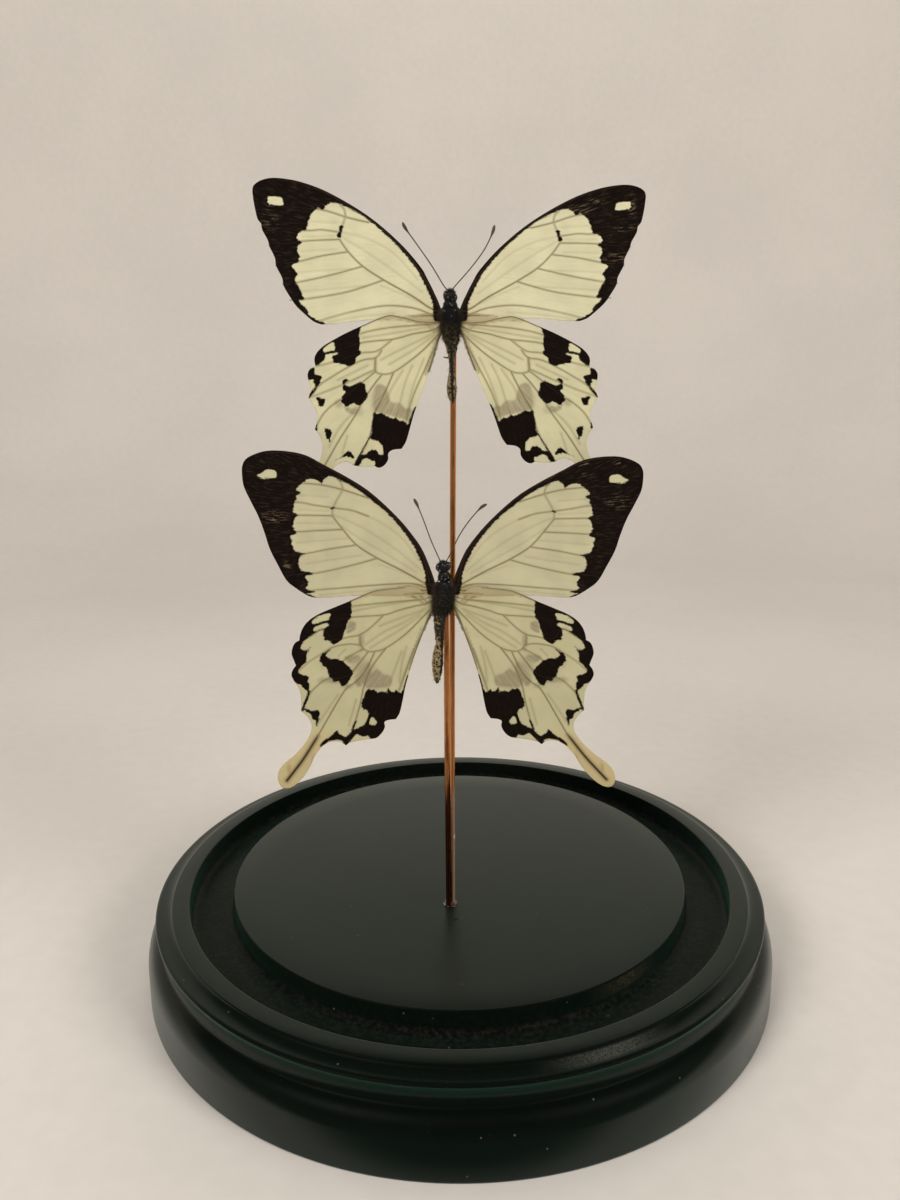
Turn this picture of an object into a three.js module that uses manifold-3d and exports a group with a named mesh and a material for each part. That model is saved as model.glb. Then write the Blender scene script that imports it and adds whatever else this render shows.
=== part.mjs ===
// Two dried swallowtail butterflies, one above the other, each held by a thin copper rod that
// stands in a round black base with a groove for a bell jar. Millimetres, +Z up, the origin at
// the middle of the base's underside. The butterflies show their upper sides towards -Y.
import * as THREE from 'three';
import { mergeVertices } from 'three/addons/utils/BufferGeometryUtils.js';
import { TessellateModifier } from 'three/addons/modifiers/TessellateModifier.js';
import Module from 'manifold-3d';

const wasm = await Module();
wasm.setup();

// ---- driving dimensions ----
const GAP = 0.3; // left between pieces that touch
const BASE = {
  height: 20.7,
  plateau: 58.4, // radius of the disc in the middle
  groove: { outer: 69.2, depth: 5.4, fillet: 1.8 },
  rim: 73.5, // outer radius of the flat ring
  nose: 77.4, // radius of the thin bead under the ring
  foot: 79.8, // radius at the bottom
  facets: 60,
};
const ROD = { radius: 0.65, sunk: 8, sides: 12 };
const BEAD = { radius: 2.2, height: 0.9, facets: 20 };
const WING = { thickness: 0.4, facet: 10, spacing: 0.35, curveSteps: 2 };
const ANTENNA = { radius: 0.25, clubRadius: 0.42, clubLength: 0.9, sides: 5, steps: 8 };
const LEG = { radius: 0.22, sides: 4, steps: 4 };

// Where the rods stand on the plateau and where they end behind the thorax.
const LOWER_ROD = { foot: [-2.75, -19.25, BASE.height], head: [-2.66, -23.7, 103.5] };
const UPPER_ROD = { foot: [-1.75, -17.75, BASE.height], head: [-0.4, -16.7, 161] };

// The point in front from where the spread pieces line up with their flat outlines.
const EYE = [-1.75, -218.7, 142.8];

// ---- shared helpers ----
function bare(geometry) {
  geometry.deleteAttribute('normal');
  geometry.deleteAttribute('uv');
  return mergeVertices(geometry, 1e-4);
}

function toSolid(geometry) {
  const merged = bare(geometry);
  return new wasm.Manifold(new wasm.Mesh({
    numProp: 3,
    vertProperties: new Float32Array(merged.attributes.position.array),
    triVerts: new Uint32Array(merged.index.array),
  }));
}

function toGeometry(solid) {
  const { vertProperties, triVerts } = solid.getMesh();
  const geometry = new THREE.BufferGeometry();
  geometry.setAttribute('position', new THREE.BufferAttribute(vertProperties, 3));
  geometry.setIndex(new THREE.BufferAttribute(triVerts, 1));
  return geometry;
}

function piece(name, geometry, material) {
  geometry.computeVertexNormals();
  const mesh = new THREE.Mesh(geometry, material);
  mesh.name = name;
  return mesh;
}

function finish(color, roughness, metalness = 0) {
  return new THREE.MeshStandardMaterial({ color, roughness, metalness });
}

// A straight bar from one point to another.
function bar(from, to, radius, sides) {
  const axis = new THREE.Vector3().subVectors(to, from);
  const turn = new THREE.Quaternion().setFromUnitVectors(
    new THREE.Vector3(0, 1, 0), axis.clone().normalize());
  const middle = from.clone().addScaledVector(axis, 0.5);
  return new THREE.CylinderGeometry(radius, radius, axis.length(), sides)
    .applyQuaternion(turn)
    .translate(middle.x, middle.y, middle.z);
}

// A thin stalk with flat ends along a smooth curve through the points.
function stalk(points, radius, sides, steps) {
  const path = new THREE.CatmullRomCurve3(points.map((p) => new THREE.Vector3(...p)));
  const corners = Array.from({ length: sides }, (_, i) => {
    const angle = (2 * Math.PI * i) / sides;
    return new THREE.Vector2(radius * Math.cos(angle), radius * Math.sin(angle));
  });
  return new THREE.ExtrudeGeometry(new THREE.Shape(corners), { steps, extrudePath: path });
}

function ellipsoid([x, y, z], [rx, ry, rz], sides = 12, rings = 8) {
  return new THREE.SphereGeometry(1, sides, rings).scale(rx, ry, rz).translate(x, y, z);
}

// ---- base ----
function rodLine({ foot, head }) {
  const [low, high] = [new THREE.Vector3(...foot), new THREE.Vector3(...head)];
  const along = high.clone().sub(low).normalize();
  return { start: low.clone().addScaledVector(along, -ROD.sunk), end: high, along };
}

// A rod's drilled hole: the rod's own line, wider and deeper by the gap.
function rodHole(rod) {
  const { start, end, along } = rodLine(rod);
  return toSolid(bar(start.clone().addScaledVector(along, -GAP), end, ROD.radius + GAP, ROD.sides));
}

function base() {
  const { height, plateau, groove, rim, nose, foot } = BASE;
  const floor = height - groove.depth;
  const side = new THREE.Path()
    .moveTo(0, 0)
    .lineTo(foot - 0.7, 0)
    .lineTo(foot, 0.7)
    .lineTo(foot - 0.1, 9)
    .quadraticCurveTo(foot - 0.4, 12.9, nose - 1, 13.7) // rounded shoulder
    .quadraticCurveTo(nose - 1.8, 16, nose - 0.3, 18.4) // hollow under the bead
    .quadraticCurveTo(nose + 0.3, 19.1, nose - 0.4, 19.4) // bead
    .quadraticCurveTo(rim + 0.5, 19.4, rim, height) // cove up to the flat ring
    .lineTo(groove.outer, height)
    .lineTo(groove.outer, floor + groove.fillet)
    .quadraticCurveTo(groove.outer, floor, groove.outer - groove.fillet, floor)
    .lineTo(plateau + groove.fillet, floor)
    .quadraticCurveTo(plateau, floor, plateau, floor + groove.fillet)
    .lineTo(plateau, height)
    .lineTo(0, height);
  const turned = new THREE.LatheGeometry(side.getPoints(2), BASE.facets).rotateX(Math.PI / 2);
  return toGeometry(toSolid(turned).subtract(rodHole(LOWER_ROD)).subtract(rodHole(UPPER_ROD)));
}

function rod(line) {
  const { start, end } = rodLine(line);
  return bare(bar(start, end, ROD.radius, ROD.sides));
}

// A low drop of clear glue around the two rods.
function glueBead() {
  const middle = new THREE.Vector3(...LOWER_ROD.foot).lerp(new THREE.Vector3(...UPPER_ROD.foot), 0.5);
  const dome = new THREE.Path()
    .moveTo(0, 0)
    .lineTo(BEAD.radius, 0)
    .quadraticCurveTo(BEAD.radius - 0.1, BEAD.height, 0, BEAD.height);
  const drop = new THREE.LatheGeometry(dome.getPoints(4), BEAD.facets)
    .rotateX(Math.PI / 2)
    .translate(middle.x, middle.y, BASE.height);
  return toGeometry(toSolid(drop).subtract(rodHole(LOWER_ROD)).subtract(rodHole(UPPER_ROD)));
}

// ---- wings: outlines with x outwards from the body and y towards the head ----
const UPPER_FOREWING = new THREE.Shape()
  .moveTo(3.4, -0.9)
  .lineTo(2.5, 1.8)
  .splineThru([[3.3, 5], [6.6, 10.7], [11, 15.3], [17.3, 20.2], [25, 24.4], [31, 26.5], [36, 27.2],
    [39, 26.8], [40.8, 25.7], [41.1, 24.4]].map(point2))
  .splineThru([[40.8, 22], [40.2, 19.3], [39.5, 18.4], [39.3, 17.2], [38.2, 15.2], [37.9, 14],
    [36.8, 11.7], [36.6, 10.2], [35.4, 7.8], [35.1, 6.2], [33.8, 4], [32.5, 2.2], [30.3, 0.2],
    [28.8, -0.9], [27.3, -1.4]].map(point2))
  .splineThru([[24, -1.2], [20, -0.6], [15.5, -0.35], [9, -1.1], [3.4, -0.9]].map(point2));

const LOWER_FOREWING = new THREE.Shape()
  .moveTo(3.4, -0.9)
  .lineTo(2.5, 2.5)
  .splineThru([[3.15, 5.3], [5.2, 10], [8.3, 14.2], [12.3, 18.3], [16.7, 22], [21.3, 24.8], [26, 27.2],
    [30, 29.2], [34.3, 30], [38.7, 29.9], [42.3, 28.5], [43.5, 26.8], [43.6, 24.6]].map(point2))
  .splineThru([[43.2, 22.2], [41.6, 18.8], [40.2, 16], [38.9, 12.5], [37.8, 9], [36, 5.4],
    [34.2, 2.2], [32, 0.4], [29.5, -1.1], [27.7, -1.5]].map(point2))
  .splineThru([[24, -1.3], [20, -0.9], [15.5, -0.8], [9, -1], [3.4, -0.9]].map(point2));

const UPPER_HINDWING = new THREE.Shape()
  .moveTo(2.7, -0.8)
  .splineThru([[4.2, -0.5], [8, -0.1], [12.5, 0.75], [15.3, 0], [18.5, -1.4], [22, -3], [25, -4.6],
    [27.2, -6], [28.5, -7.4], [28.9, -8.6], [28.7, -9.9]].map(point2))
  .splineThru([[29.8, -10.5], [30.4, -11.6], [30.3, -12.8]].map(point2))
  .quadraticCurveTo(29.3, -14.6, 30.3, -16.6) // scallops from vein end to vein end
  .quadraticCurveTo(27.4, -20, 29, -23.3)
  .splineThru([[27.9, -24.8], [27.5, -26.8], [28, -29.6], [30.2, -33], [32.8, -35.9], [34.7, -37.7],
    [35.3, -39.6], [34.9, -41.6], [33.6, -42.5], [31.8, -41.8], [29.7, -39.7], [27.9, -36.6],
    [26.5, -33.6], [24.7, -31.1]].map(point2)) // tail
  .quadraticCurveTo(22.4, -29.2, 20.5, -30.9)
  .quadraticCurveTo(18.2, -31.4, 16.1, -30.9)
  .splineThru([[15.1, -31.3], [13.9, -30.7], [13.1, -29.4], [13.1, -28.2], [12.2, -27.4],
    [10.2, -27.1]].map(point2))
  .splineThru([[9.2, -25.4], [8.4, -22.6], [7.5, -19.4], [6.1, -15.4], [4.6, -11.2], [3.4, -7.6],
    [2.8, -4.2], [2.7, -0.8]].map(point2));

const LOWER_HINDWING = new THREE.Shape()
  .moveTo(2.8, -0.8)
  .splineThru([[4.2, -0.2], [7, 1.3], [13.5, 0.6], [17.2, -0.55], [20.5, -2.1], [24, -3.6],
    [27.5, -5.2], [29.6, -6.7], [30.8, -8.3], [31.4, -10], [31.5, -11]].map(point2))
  .splineThru([[32.5, -11.6], [33.1, -12.9], [33.2, -14.2], [32.7, -15.6], [32.3, -16.6]].map(point2))
  .splineThru([[33, -17.6], [33.3, -18.8], [32.8, -20]].map(point2))
  .quadraticCurveTo(30.1, -22.8, 31.2, -26.9) // scallop above the tail
  .splineThru([[29.9, -28.1], [29, -29.6], [29, -31.4], [30.2, -34], [32.6, -36.9], [34.9, -38.9],
    [36.2, -40.6], [36.5, -42.6], [35.9, -44.2], [34.6, -44.8], [32.8, -44.1], [30.8, -42.1],
    [29.2, -39.5], [28.2, -37.2], [26.5, -34.9], [24.6, -33.8], [22.4, -33.8]].map(point2)) // tail
  .lineTo(21.2, -34.6)
  .lineTo(20.6, -34)
  .quadraticCurveTo(18.2, -33.4, 15.7, -33)
  .splineThru([[14.4, -32.7], [13.2, -31.5], [12.6, -30.2], [12.7, -29.1], [11.8, -28.6],
    [10.2, -28.4]].map(point2))
  .splineThru([[9.3, -26.8], [8.7, -24], [8.1, -20.8], [7.1, -17], [5.8, -12.8], [4.4, -8.8],
    [3.3, -5.4], [2.8, -0.8]].map(point2));

function point2([x, y]) {
  return new THREE.Vector2(x, y);
}

// No pair of wings was dried quite alike: a right wing is its left one stretched and swung.
const AS_TRACED = { wide: 1, sway: 0, rise: 0, long: 1, tailSwing: 0 };
const RIGHT = {
  upperForewing: { wide: 0.997, sway: -0.051, rise: 0.056, long: 0.923, tailSwing: 0 },
  upperHindwing: { wide: 1.009, sway: -0.088, rise: 0.02, long: 0.961, tailSwing: 0 },
  lowerForewing: { wide: 0.981, sway: -0.017, rise: 0.034, long: 0.959, tailSwing: 0 },
  lowerHindwing: { wide: 0.987, sway: -0.028, rise: 0.034, long: 0.992, tailSwing: 2.2 },
};
const TAIL = { root: -32, length: 12.5 };

function setOut({ x, y }, { wide, sway, rise, long, tailSwing }) {
  const down = Math.max(0, (TAIL.root - y) / TAIL.length);
  return new THREE.Vector2(wide * x + sway * y + tailSwing * down, rise * x + long * y);
}

// Forewings start behind the hindwings and rise towards their tips, hindwings fall back towards
// their tails. Where they overlap both lie flat.
const forewingLift = (x) => -WING.spacing + 2.4 * (Math.max(0, x - 14) / 27) ** 2;
const hindwingLift = (x, y) => (
  WING.spacing - 1.8 * (Math.max(0, Math.hypot(x, y) - 10) / 35) ** 2);

// Where a spot of the flat outline stands once it is brought forward by the rise.
function broughtForward(x, y, rise, eye) {
  const share = rise / eye.z;
  return [x + (eye.x - x) * share, y + (eye.y - y) * share];
}

function wing(shape, side, setting, lift, eye) {
  const outline = shape.extractPoints(WING.curveSteps).shape
    .map((p) => setOut(p, setting))
    .map((p) => new THREE.Vector2(side * p.x, p.y));
  const plate = new THREE.ExtrudeGeometry(new THREE.Shape(outline),
    { depth: WING.thickness, steps: 1, bevelEnabled: false });
  const refined = new TessellateModifier(WING.facet, 12).modify(bare(plate));
  const spots = refined.attributes.position;
  for (let i = 0; i < spots.count; i += 1) {
    const [flatX, flatY] = [spots.getX(i), spots.getY(i)];
    const rise = lift(Math.abs(flatX), flatY);
    const [x, y] = broughtForward(flatX, flatY, rise, eye);
    spots.setXYZ(i, x, y, spots.getZ(i) + rise - WING.thickness / 2);
  }
  return bare(refined);
}

// ---- bodies ----
// How far the middle of the abdomen stands to the side. Drift: [y, x] from the tip upwards.
function driftAt(y, drift) {
  const next = Math.max(1, drift.findIndex(([height]) => height > y));
  const [[lowY, lowX], [highY, highX]] = [drift[next - 1], drift[next]];
  return THREE.MathUtils.mapLinear(Math.max(y, lowY), lowY, highY, lowX, highX);
}

// Abdomen: a turned form hanging below the thorax and bent sideways by its drift.
function abdomen({ profile, drift }) {
  const form = new THREE.LatheGeometry(profile.map(point2), 9);
  const spots = form.attributes.position;
  for (let i = 0; i < spots.count; i += 1) {
    spots.setX(i, spots.getX(i) + driftAt(spots.getY(i), drift));
  }
  return form;
}

// Legs folded back under the thorax: hip, knee and foot of each pair on one side.
const LEG_PAIRS = [
  [[0.5, 2.1, -0.6], [1.15, 2.8, -2.2], [1.6, 1.1, -2.9]],
  [[0.9, 0.6, -1.5], [2, -0.6, -2.7], [2.2, -2.8, -2.9]],
  [[0.9, -1.2, -1.4], [1.3, -3, -2.6], [0.3, -6, -1.9]],
];

// The chest is the deep underside of the thorax. It rests against the rod.
function body({ head, headRadii, eyes, collar, collarWidth, thorax, thoraxRadii, rump, rumpRadii,
  chest, chestRadii, abdomenForm, stub }) {
  const forms = [
    ellipsoid(head, headRadii, 8, 6),
    ...eyes.map((eye) => ellipsoid(eye, [0.68, 0.85, 0.75], 6, 5)),
    ellipsoid(collar, [collarWidth, 1.3, 1.2], 8, 6),
    ellipsoid(thorax, thoraxRadii, 10, 6),
    ellipsoid(rump, rumpRadii, 8, 6),
    ellipsoid(chest, chestRadii, 8, 4),
    abdomen(abdomenForm),
  ];
  const legs = [-1, 1].flatMap((side) => LEG_PAIRS.map(
    (leg) => leg.map(([x, y, z]) => [side * x, y, z])));
  for (const leg of [...legs, ...stub]) {
    forms.push(stalk(leg, LEG.radius, LEG.sides, LEG.steps));
  }
  return toGeometry(forms.map(toSolid).reduce((whole, form) => whole.add(form)));
}

function antenna(flatPoints, eye) {
  const points = flatPoints.map(([x, y, rise]) => [...broughtForward(x, y, rise, eye), rise]);
  const tip = new THREE.Vector3(...points.at(-1));
  const before = new THREE.Vector3(...points.at(-2));
  const turn = new THREE.Quaternion().setFromUnitVectors(
    new THREE.Vector3(0, 1, 0), tip.clone().sub(before).normalize());
  const club = ellipsoid([0, 0, 0], [ANTENNA.clubRadius, ANTENNA.clubLength, ANTENNA.clubRadius], 5, 5)
    .applyQuaternion(turn)
    .translate(tip.x, tip.y, tip.z);
  const shaft = stalk(points, ANTENNA.radius, ANTENNA.sides, ANTENNA.steps);
  return toGeometry(toSolid(shaft).add(toSolid(club)));
}

// ---- finishes ----
const PAINT = finish(0x2a2a28, 0.55);
const COPPER = finish(0xb0703f, 0.3, 1);
const GLUE = finish(0xd8d2c4, 0.15);
const SCALES = { upper: finish(0xd8d2a8, 0.8), lower: finish(0xbdb68c, 0.8) };
const FUR = finish(0x1c1916, 0.9);
const HORN = finish(0x2b221b, 0.6);

// ---- the two specimens ----
const UPPER = {
  name: 'upper',
  place: [-1.1, -20, 158.6],
  lean: 0,
  forewing: UPPER_FOREWING,
  hindwing: UPPER_HINDWING,
  rightForewing: RIGHT.upperForewing,
  rightHindwing: RIGHT.upperHindwing,
  body: {
    head: [-0.15, 4.9, 0.1],
    headRadii: [1.3, 1.35, 1.1],
    eyes: [[-0.98, 5, 0.2], [0.72, 4.5, 0.2]],
    collar: [-0.12, 3, 0],
    collarWidth: 1.45,
    thorax: [0.03, -0.3, 0],
    thoraxRadii: [2.2, 3.5, 2],
    rump: [0.05, -2.2, 0],
    rumpRadii: [1.8, 1.7, 1.7],
    chest: [0.68, -0.4, -1.1],
    chestRadii: [1.2, 2.2, 1.52],
    abdomenForm: {
      profile: [[0, -17], [0.5, -16.4], [0.95, -15], [1, -12.8], [0.6, -10.4], [0.58, -8],
        [1.1, -6], [1.5, -4], [0, -1.5]],
      drift: [[-17, 0.7], [-14, 0.5], [-8.4, 0.38], [-4, 0.25], [0, 0]],
    },
    stub: [[[0.2, -7.5, -0.5], [-0.6, -7.75, -0.1], [-1.35, -7.6, 0.1]]],
  },
  antennae: {
    left: [[-1.5, 6.8, 0.7], [-4, 10.6, 1], [-7, 14.6, 1.4], [-9.5, 17.8, 1.6], [-10.3, 19.2, 1.7]],
    right: [[0.9, 6.9, 0.7], [4, 10.4, 1], [6.7, 14, 1.4], [8.3, 17.2, 1.6], [8.8, 19, 1.7]],
  },
};
const LOWER = {
  name: 'lower',
  place: [-3.1, -27, 101],
  lean: 5,
  forewing: LOWER_FOREWING,
  hindwing: LOWER_HINDWING,
  rightForewing: RIGHT.lowerForewing,
  rightHindwing: RIGHT.lowerHindwing,
  body: {
    head: [-0.15, 5.8, 0.1],
    headRadii: [1.35, 1.4, 1.15],
    eyes: [[-1.2, 5.65, 0.2], [0.92, 6.1, 0.2]],
    collar: [0.15, 3.7, 0],
    collarWidth: 1.45,
    thorax: [-0.1, -0.6, 0],
    thoraxRadii: [2.3, 3.6, 2],
    rump: [-0.2, -2.6, 0],
    rumpRadii: [2.2, 1.9, 1.9],
    chest: [0.43, 0.6, -1.2],
    chestRadii: [1.2, 2, 1.5],
    abdomenForm: {
      profile: [[0, -20.2], [0.6, -19.2], [1.1, -17], [1.15, -14.2], [0.85, -11], [1.1, -7],
        [1.3, -4], [0, -1.5]],
      drift: [[-20.2, -1.15], [-13, -1.02], [-11, -0.72], [-4, -0.9], [0, 0]],
    },
    stub: [],
  },
  antennae: {
    left: [[-1.3, 7.9, 0.7], [-3, 11.6, 1], [-4.5, 15.5, 1.4], [-6, 19, 1.6], [-6.8, 20.4, 1.7]],
    right: [[0.9, 7.8, 0.7], [3, 12.3, 1], [5, 15.5, 1.4], [7.5, 18.5, 1.6], [9, 19.5, 1.7]],
  },
};

const ROLL = THREE.MathUtils.degToRad(-1.5); // both hang a little lower on the right

function specimen(plan) {
  const { name, body: bodyPlan, antennae } = plan;
  const scales = SCALES[name];
  const group = new THREE.Group();
  group.position.set(...plan.place);
  group.rotation.set(Math.PI / 2 - THREE.MathUtils.degToRad(plan.lean), 0, ROLL);
  group.updateMatrixWorld();
  const eye = group.worldToLocal(new THREE.Vector3(...EYE));
  group.add(
    piece(`${name}_body`, body(bodyPlan), FUR),
    piece(`${name}_left_forewing`, wing(plan.forewing, -1, AS_TRACED, forewingLift, eye), scales),
    piece(`${name}_right_forewing`,
      wing(plan.forewing, 1, plan.rightForewing, forewingLift, eye), scales),
    piece(`${name}_left_hindwing`, wing(plan.hindwing, -1, AS_TRACED, hindwingLift, eye), scales),
    piece(`${name}_right_hindwing`,
      wing(plan.hindwing, 1, plan.rightHindwing, hindwingLift, eye), scales),
    piece(`${name}_left_antenna`, antenna(antennae.left, eye), HORN),
    piece(`${name}_right_antenna`, antenna(antennae.right, eye), HORN),
  );
  return group;
}

// ---- assembly ----
const mount = new THREE.Group();
mount.add(
  piece('base', base(), PAINT),
  piece('glue_bead', glueBead(), GLUE),
  piece('lower_rod', rod(LOWER_ROD), COPPER),
  piece('upper_rod', rod(UPPER_ROD), COPPER),
  specimen(UPPER),
  specimen(LOWER),
);

export default mount;
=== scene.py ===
"""Two dried swallowtail butterflies on copper rods in a black base for a bell jar.

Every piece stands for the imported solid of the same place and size. This script makes the surfaces
that are seen: turned wood under satin paint, drawn copper, scaled wings with raised veins, furry
bodies, the stage. Shapes are drawn in millimetres and brought to metres when a piece is set in
place.
"""

import math
import random

import bmesh
import bpy
import numpy as np
from bpy.props import FloatProperty, FloatVectorProperty, IntProperty, PointerProperty
from mathutils import Matrix, Vector, noise
from mathutils.bvhtree import BVHTree


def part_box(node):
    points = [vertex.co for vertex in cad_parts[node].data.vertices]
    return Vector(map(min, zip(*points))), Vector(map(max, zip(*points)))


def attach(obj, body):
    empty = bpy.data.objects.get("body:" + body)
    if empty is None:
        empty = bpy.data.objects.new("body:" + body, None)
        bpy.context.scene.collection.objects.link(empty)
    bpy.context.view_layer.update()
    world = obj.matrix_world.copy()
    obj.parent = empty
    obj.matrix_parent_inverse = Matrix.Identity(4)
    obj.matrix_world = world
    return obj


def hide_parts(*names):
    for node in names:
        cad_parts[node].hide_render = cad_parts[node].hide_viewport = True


bl_info = {
    "name": "Mounted Butterflies",
    "version": (1, 0, 0),
    "blender": (4, 5, 0),
    "location": "View3D > Sidebar > Butterflies",
    "description": "Two dried swallowtails on copper rods in a black dome base",
    "category": "Add Mesh",
}

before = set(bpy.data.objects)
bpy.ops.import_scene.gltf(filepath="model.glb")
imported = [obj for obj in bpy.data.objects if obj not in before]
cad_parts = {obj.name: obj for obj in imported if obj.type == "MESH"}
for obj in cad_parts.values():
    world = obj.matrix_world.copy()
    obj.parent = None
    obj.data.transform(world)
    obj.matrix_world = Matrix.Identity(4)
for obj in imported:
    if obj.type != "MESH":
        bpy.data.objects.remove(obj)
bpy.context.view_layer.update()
MM = 0.001

# ---- how the two specimens hang: x to the right, y to the head, z towards the viewer ----
ROLL = math.radians(-1.5)
PLACES = {
    "upper": Matrix.Translation((-1.1, -20, 158.6))
    @ Matrix.Rotation(math.radians(90), 4, "X") @ Matrix.Rotation(ROLL, 4, "Z"),
    "lower": Matrix.Translation((-3.1, -27, 101))
    @ Matrix.Rotation(math.radians(85), 4, "X") @ Matrix.Rotation(ROLL, 4, "Z"),
}
RODS = {
    "lower": ((-2.75, -19.25, 20.7), (-2.66, -23.7, 103.5)),
    "upper": ((-1.75, -17.75, 20.7), (-0.4, -16.7, 161)),
}
ROD_SUNK = 8  # how deep the rods stand in their holes
ROD_BOWS = {"lower": 0.0, "upper": -0.2}
ROD_DARK_REFLECTIONS = {"lower": (0.0, 0.6), "upper": (0.15, 0.5)}  # place and width of a dark stripe down the rod's front: a painted dark reflection
LEFT_ROD = "lower"  # the rod that stands on the left at the foot: low down it gets a painted dark reflection, the other a painted grey one
REFLECTION_FROM, REFLECTION_OVER = 47, 14  # height where the painted dark reflection starts to cross the rod, and over how much
GLUE_DRIP = (-0.00095, -0.0179, 0.0385)  # in metres, as are all places in the materials
GLUE_SMEAR = (-0.0011, -0.0255)  # on the plateau, in front of the drop
BARE_PATCH = (-57, -46, 7)  # on the plateau's edge: from, to and fade, in degrees round the base
GREY_EDGE_PATCH = (-73, -62, 8)  # a lighter grey patch on the rim's outer edge
EYE = (-1.75, -218.7, 142.8)  # from here the spread pieces line up with their flat outlines
WING_SPACING = 0.22  # how far the fore and hind wings stand from the body's middle plane
TAIL_ROOT, TAIL_LENGTH = -32, 12.5
FOREWING_RISE, HINDWING_DROP = (2.4, 14, 27), (1.8, 10, 35)  # how far, from where, over how much
STRIP_HALF = 0.36  # half the width of the strip along a hindwing's inner fold
WING_HINGE = (1.8, 0.2)  # the point that a hindwing's grain and the tan of the roots fan out from
FOREWING_FAN = (-12, 12)  # the same for a forewing's grain
LINE_STEP, LOOP_STEP, FINE_STEP = 0.8, 0.4, 0.5  # spacing of points on veins, patches, bars
FAR = 9.0  # stands for nowhere near

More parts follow.
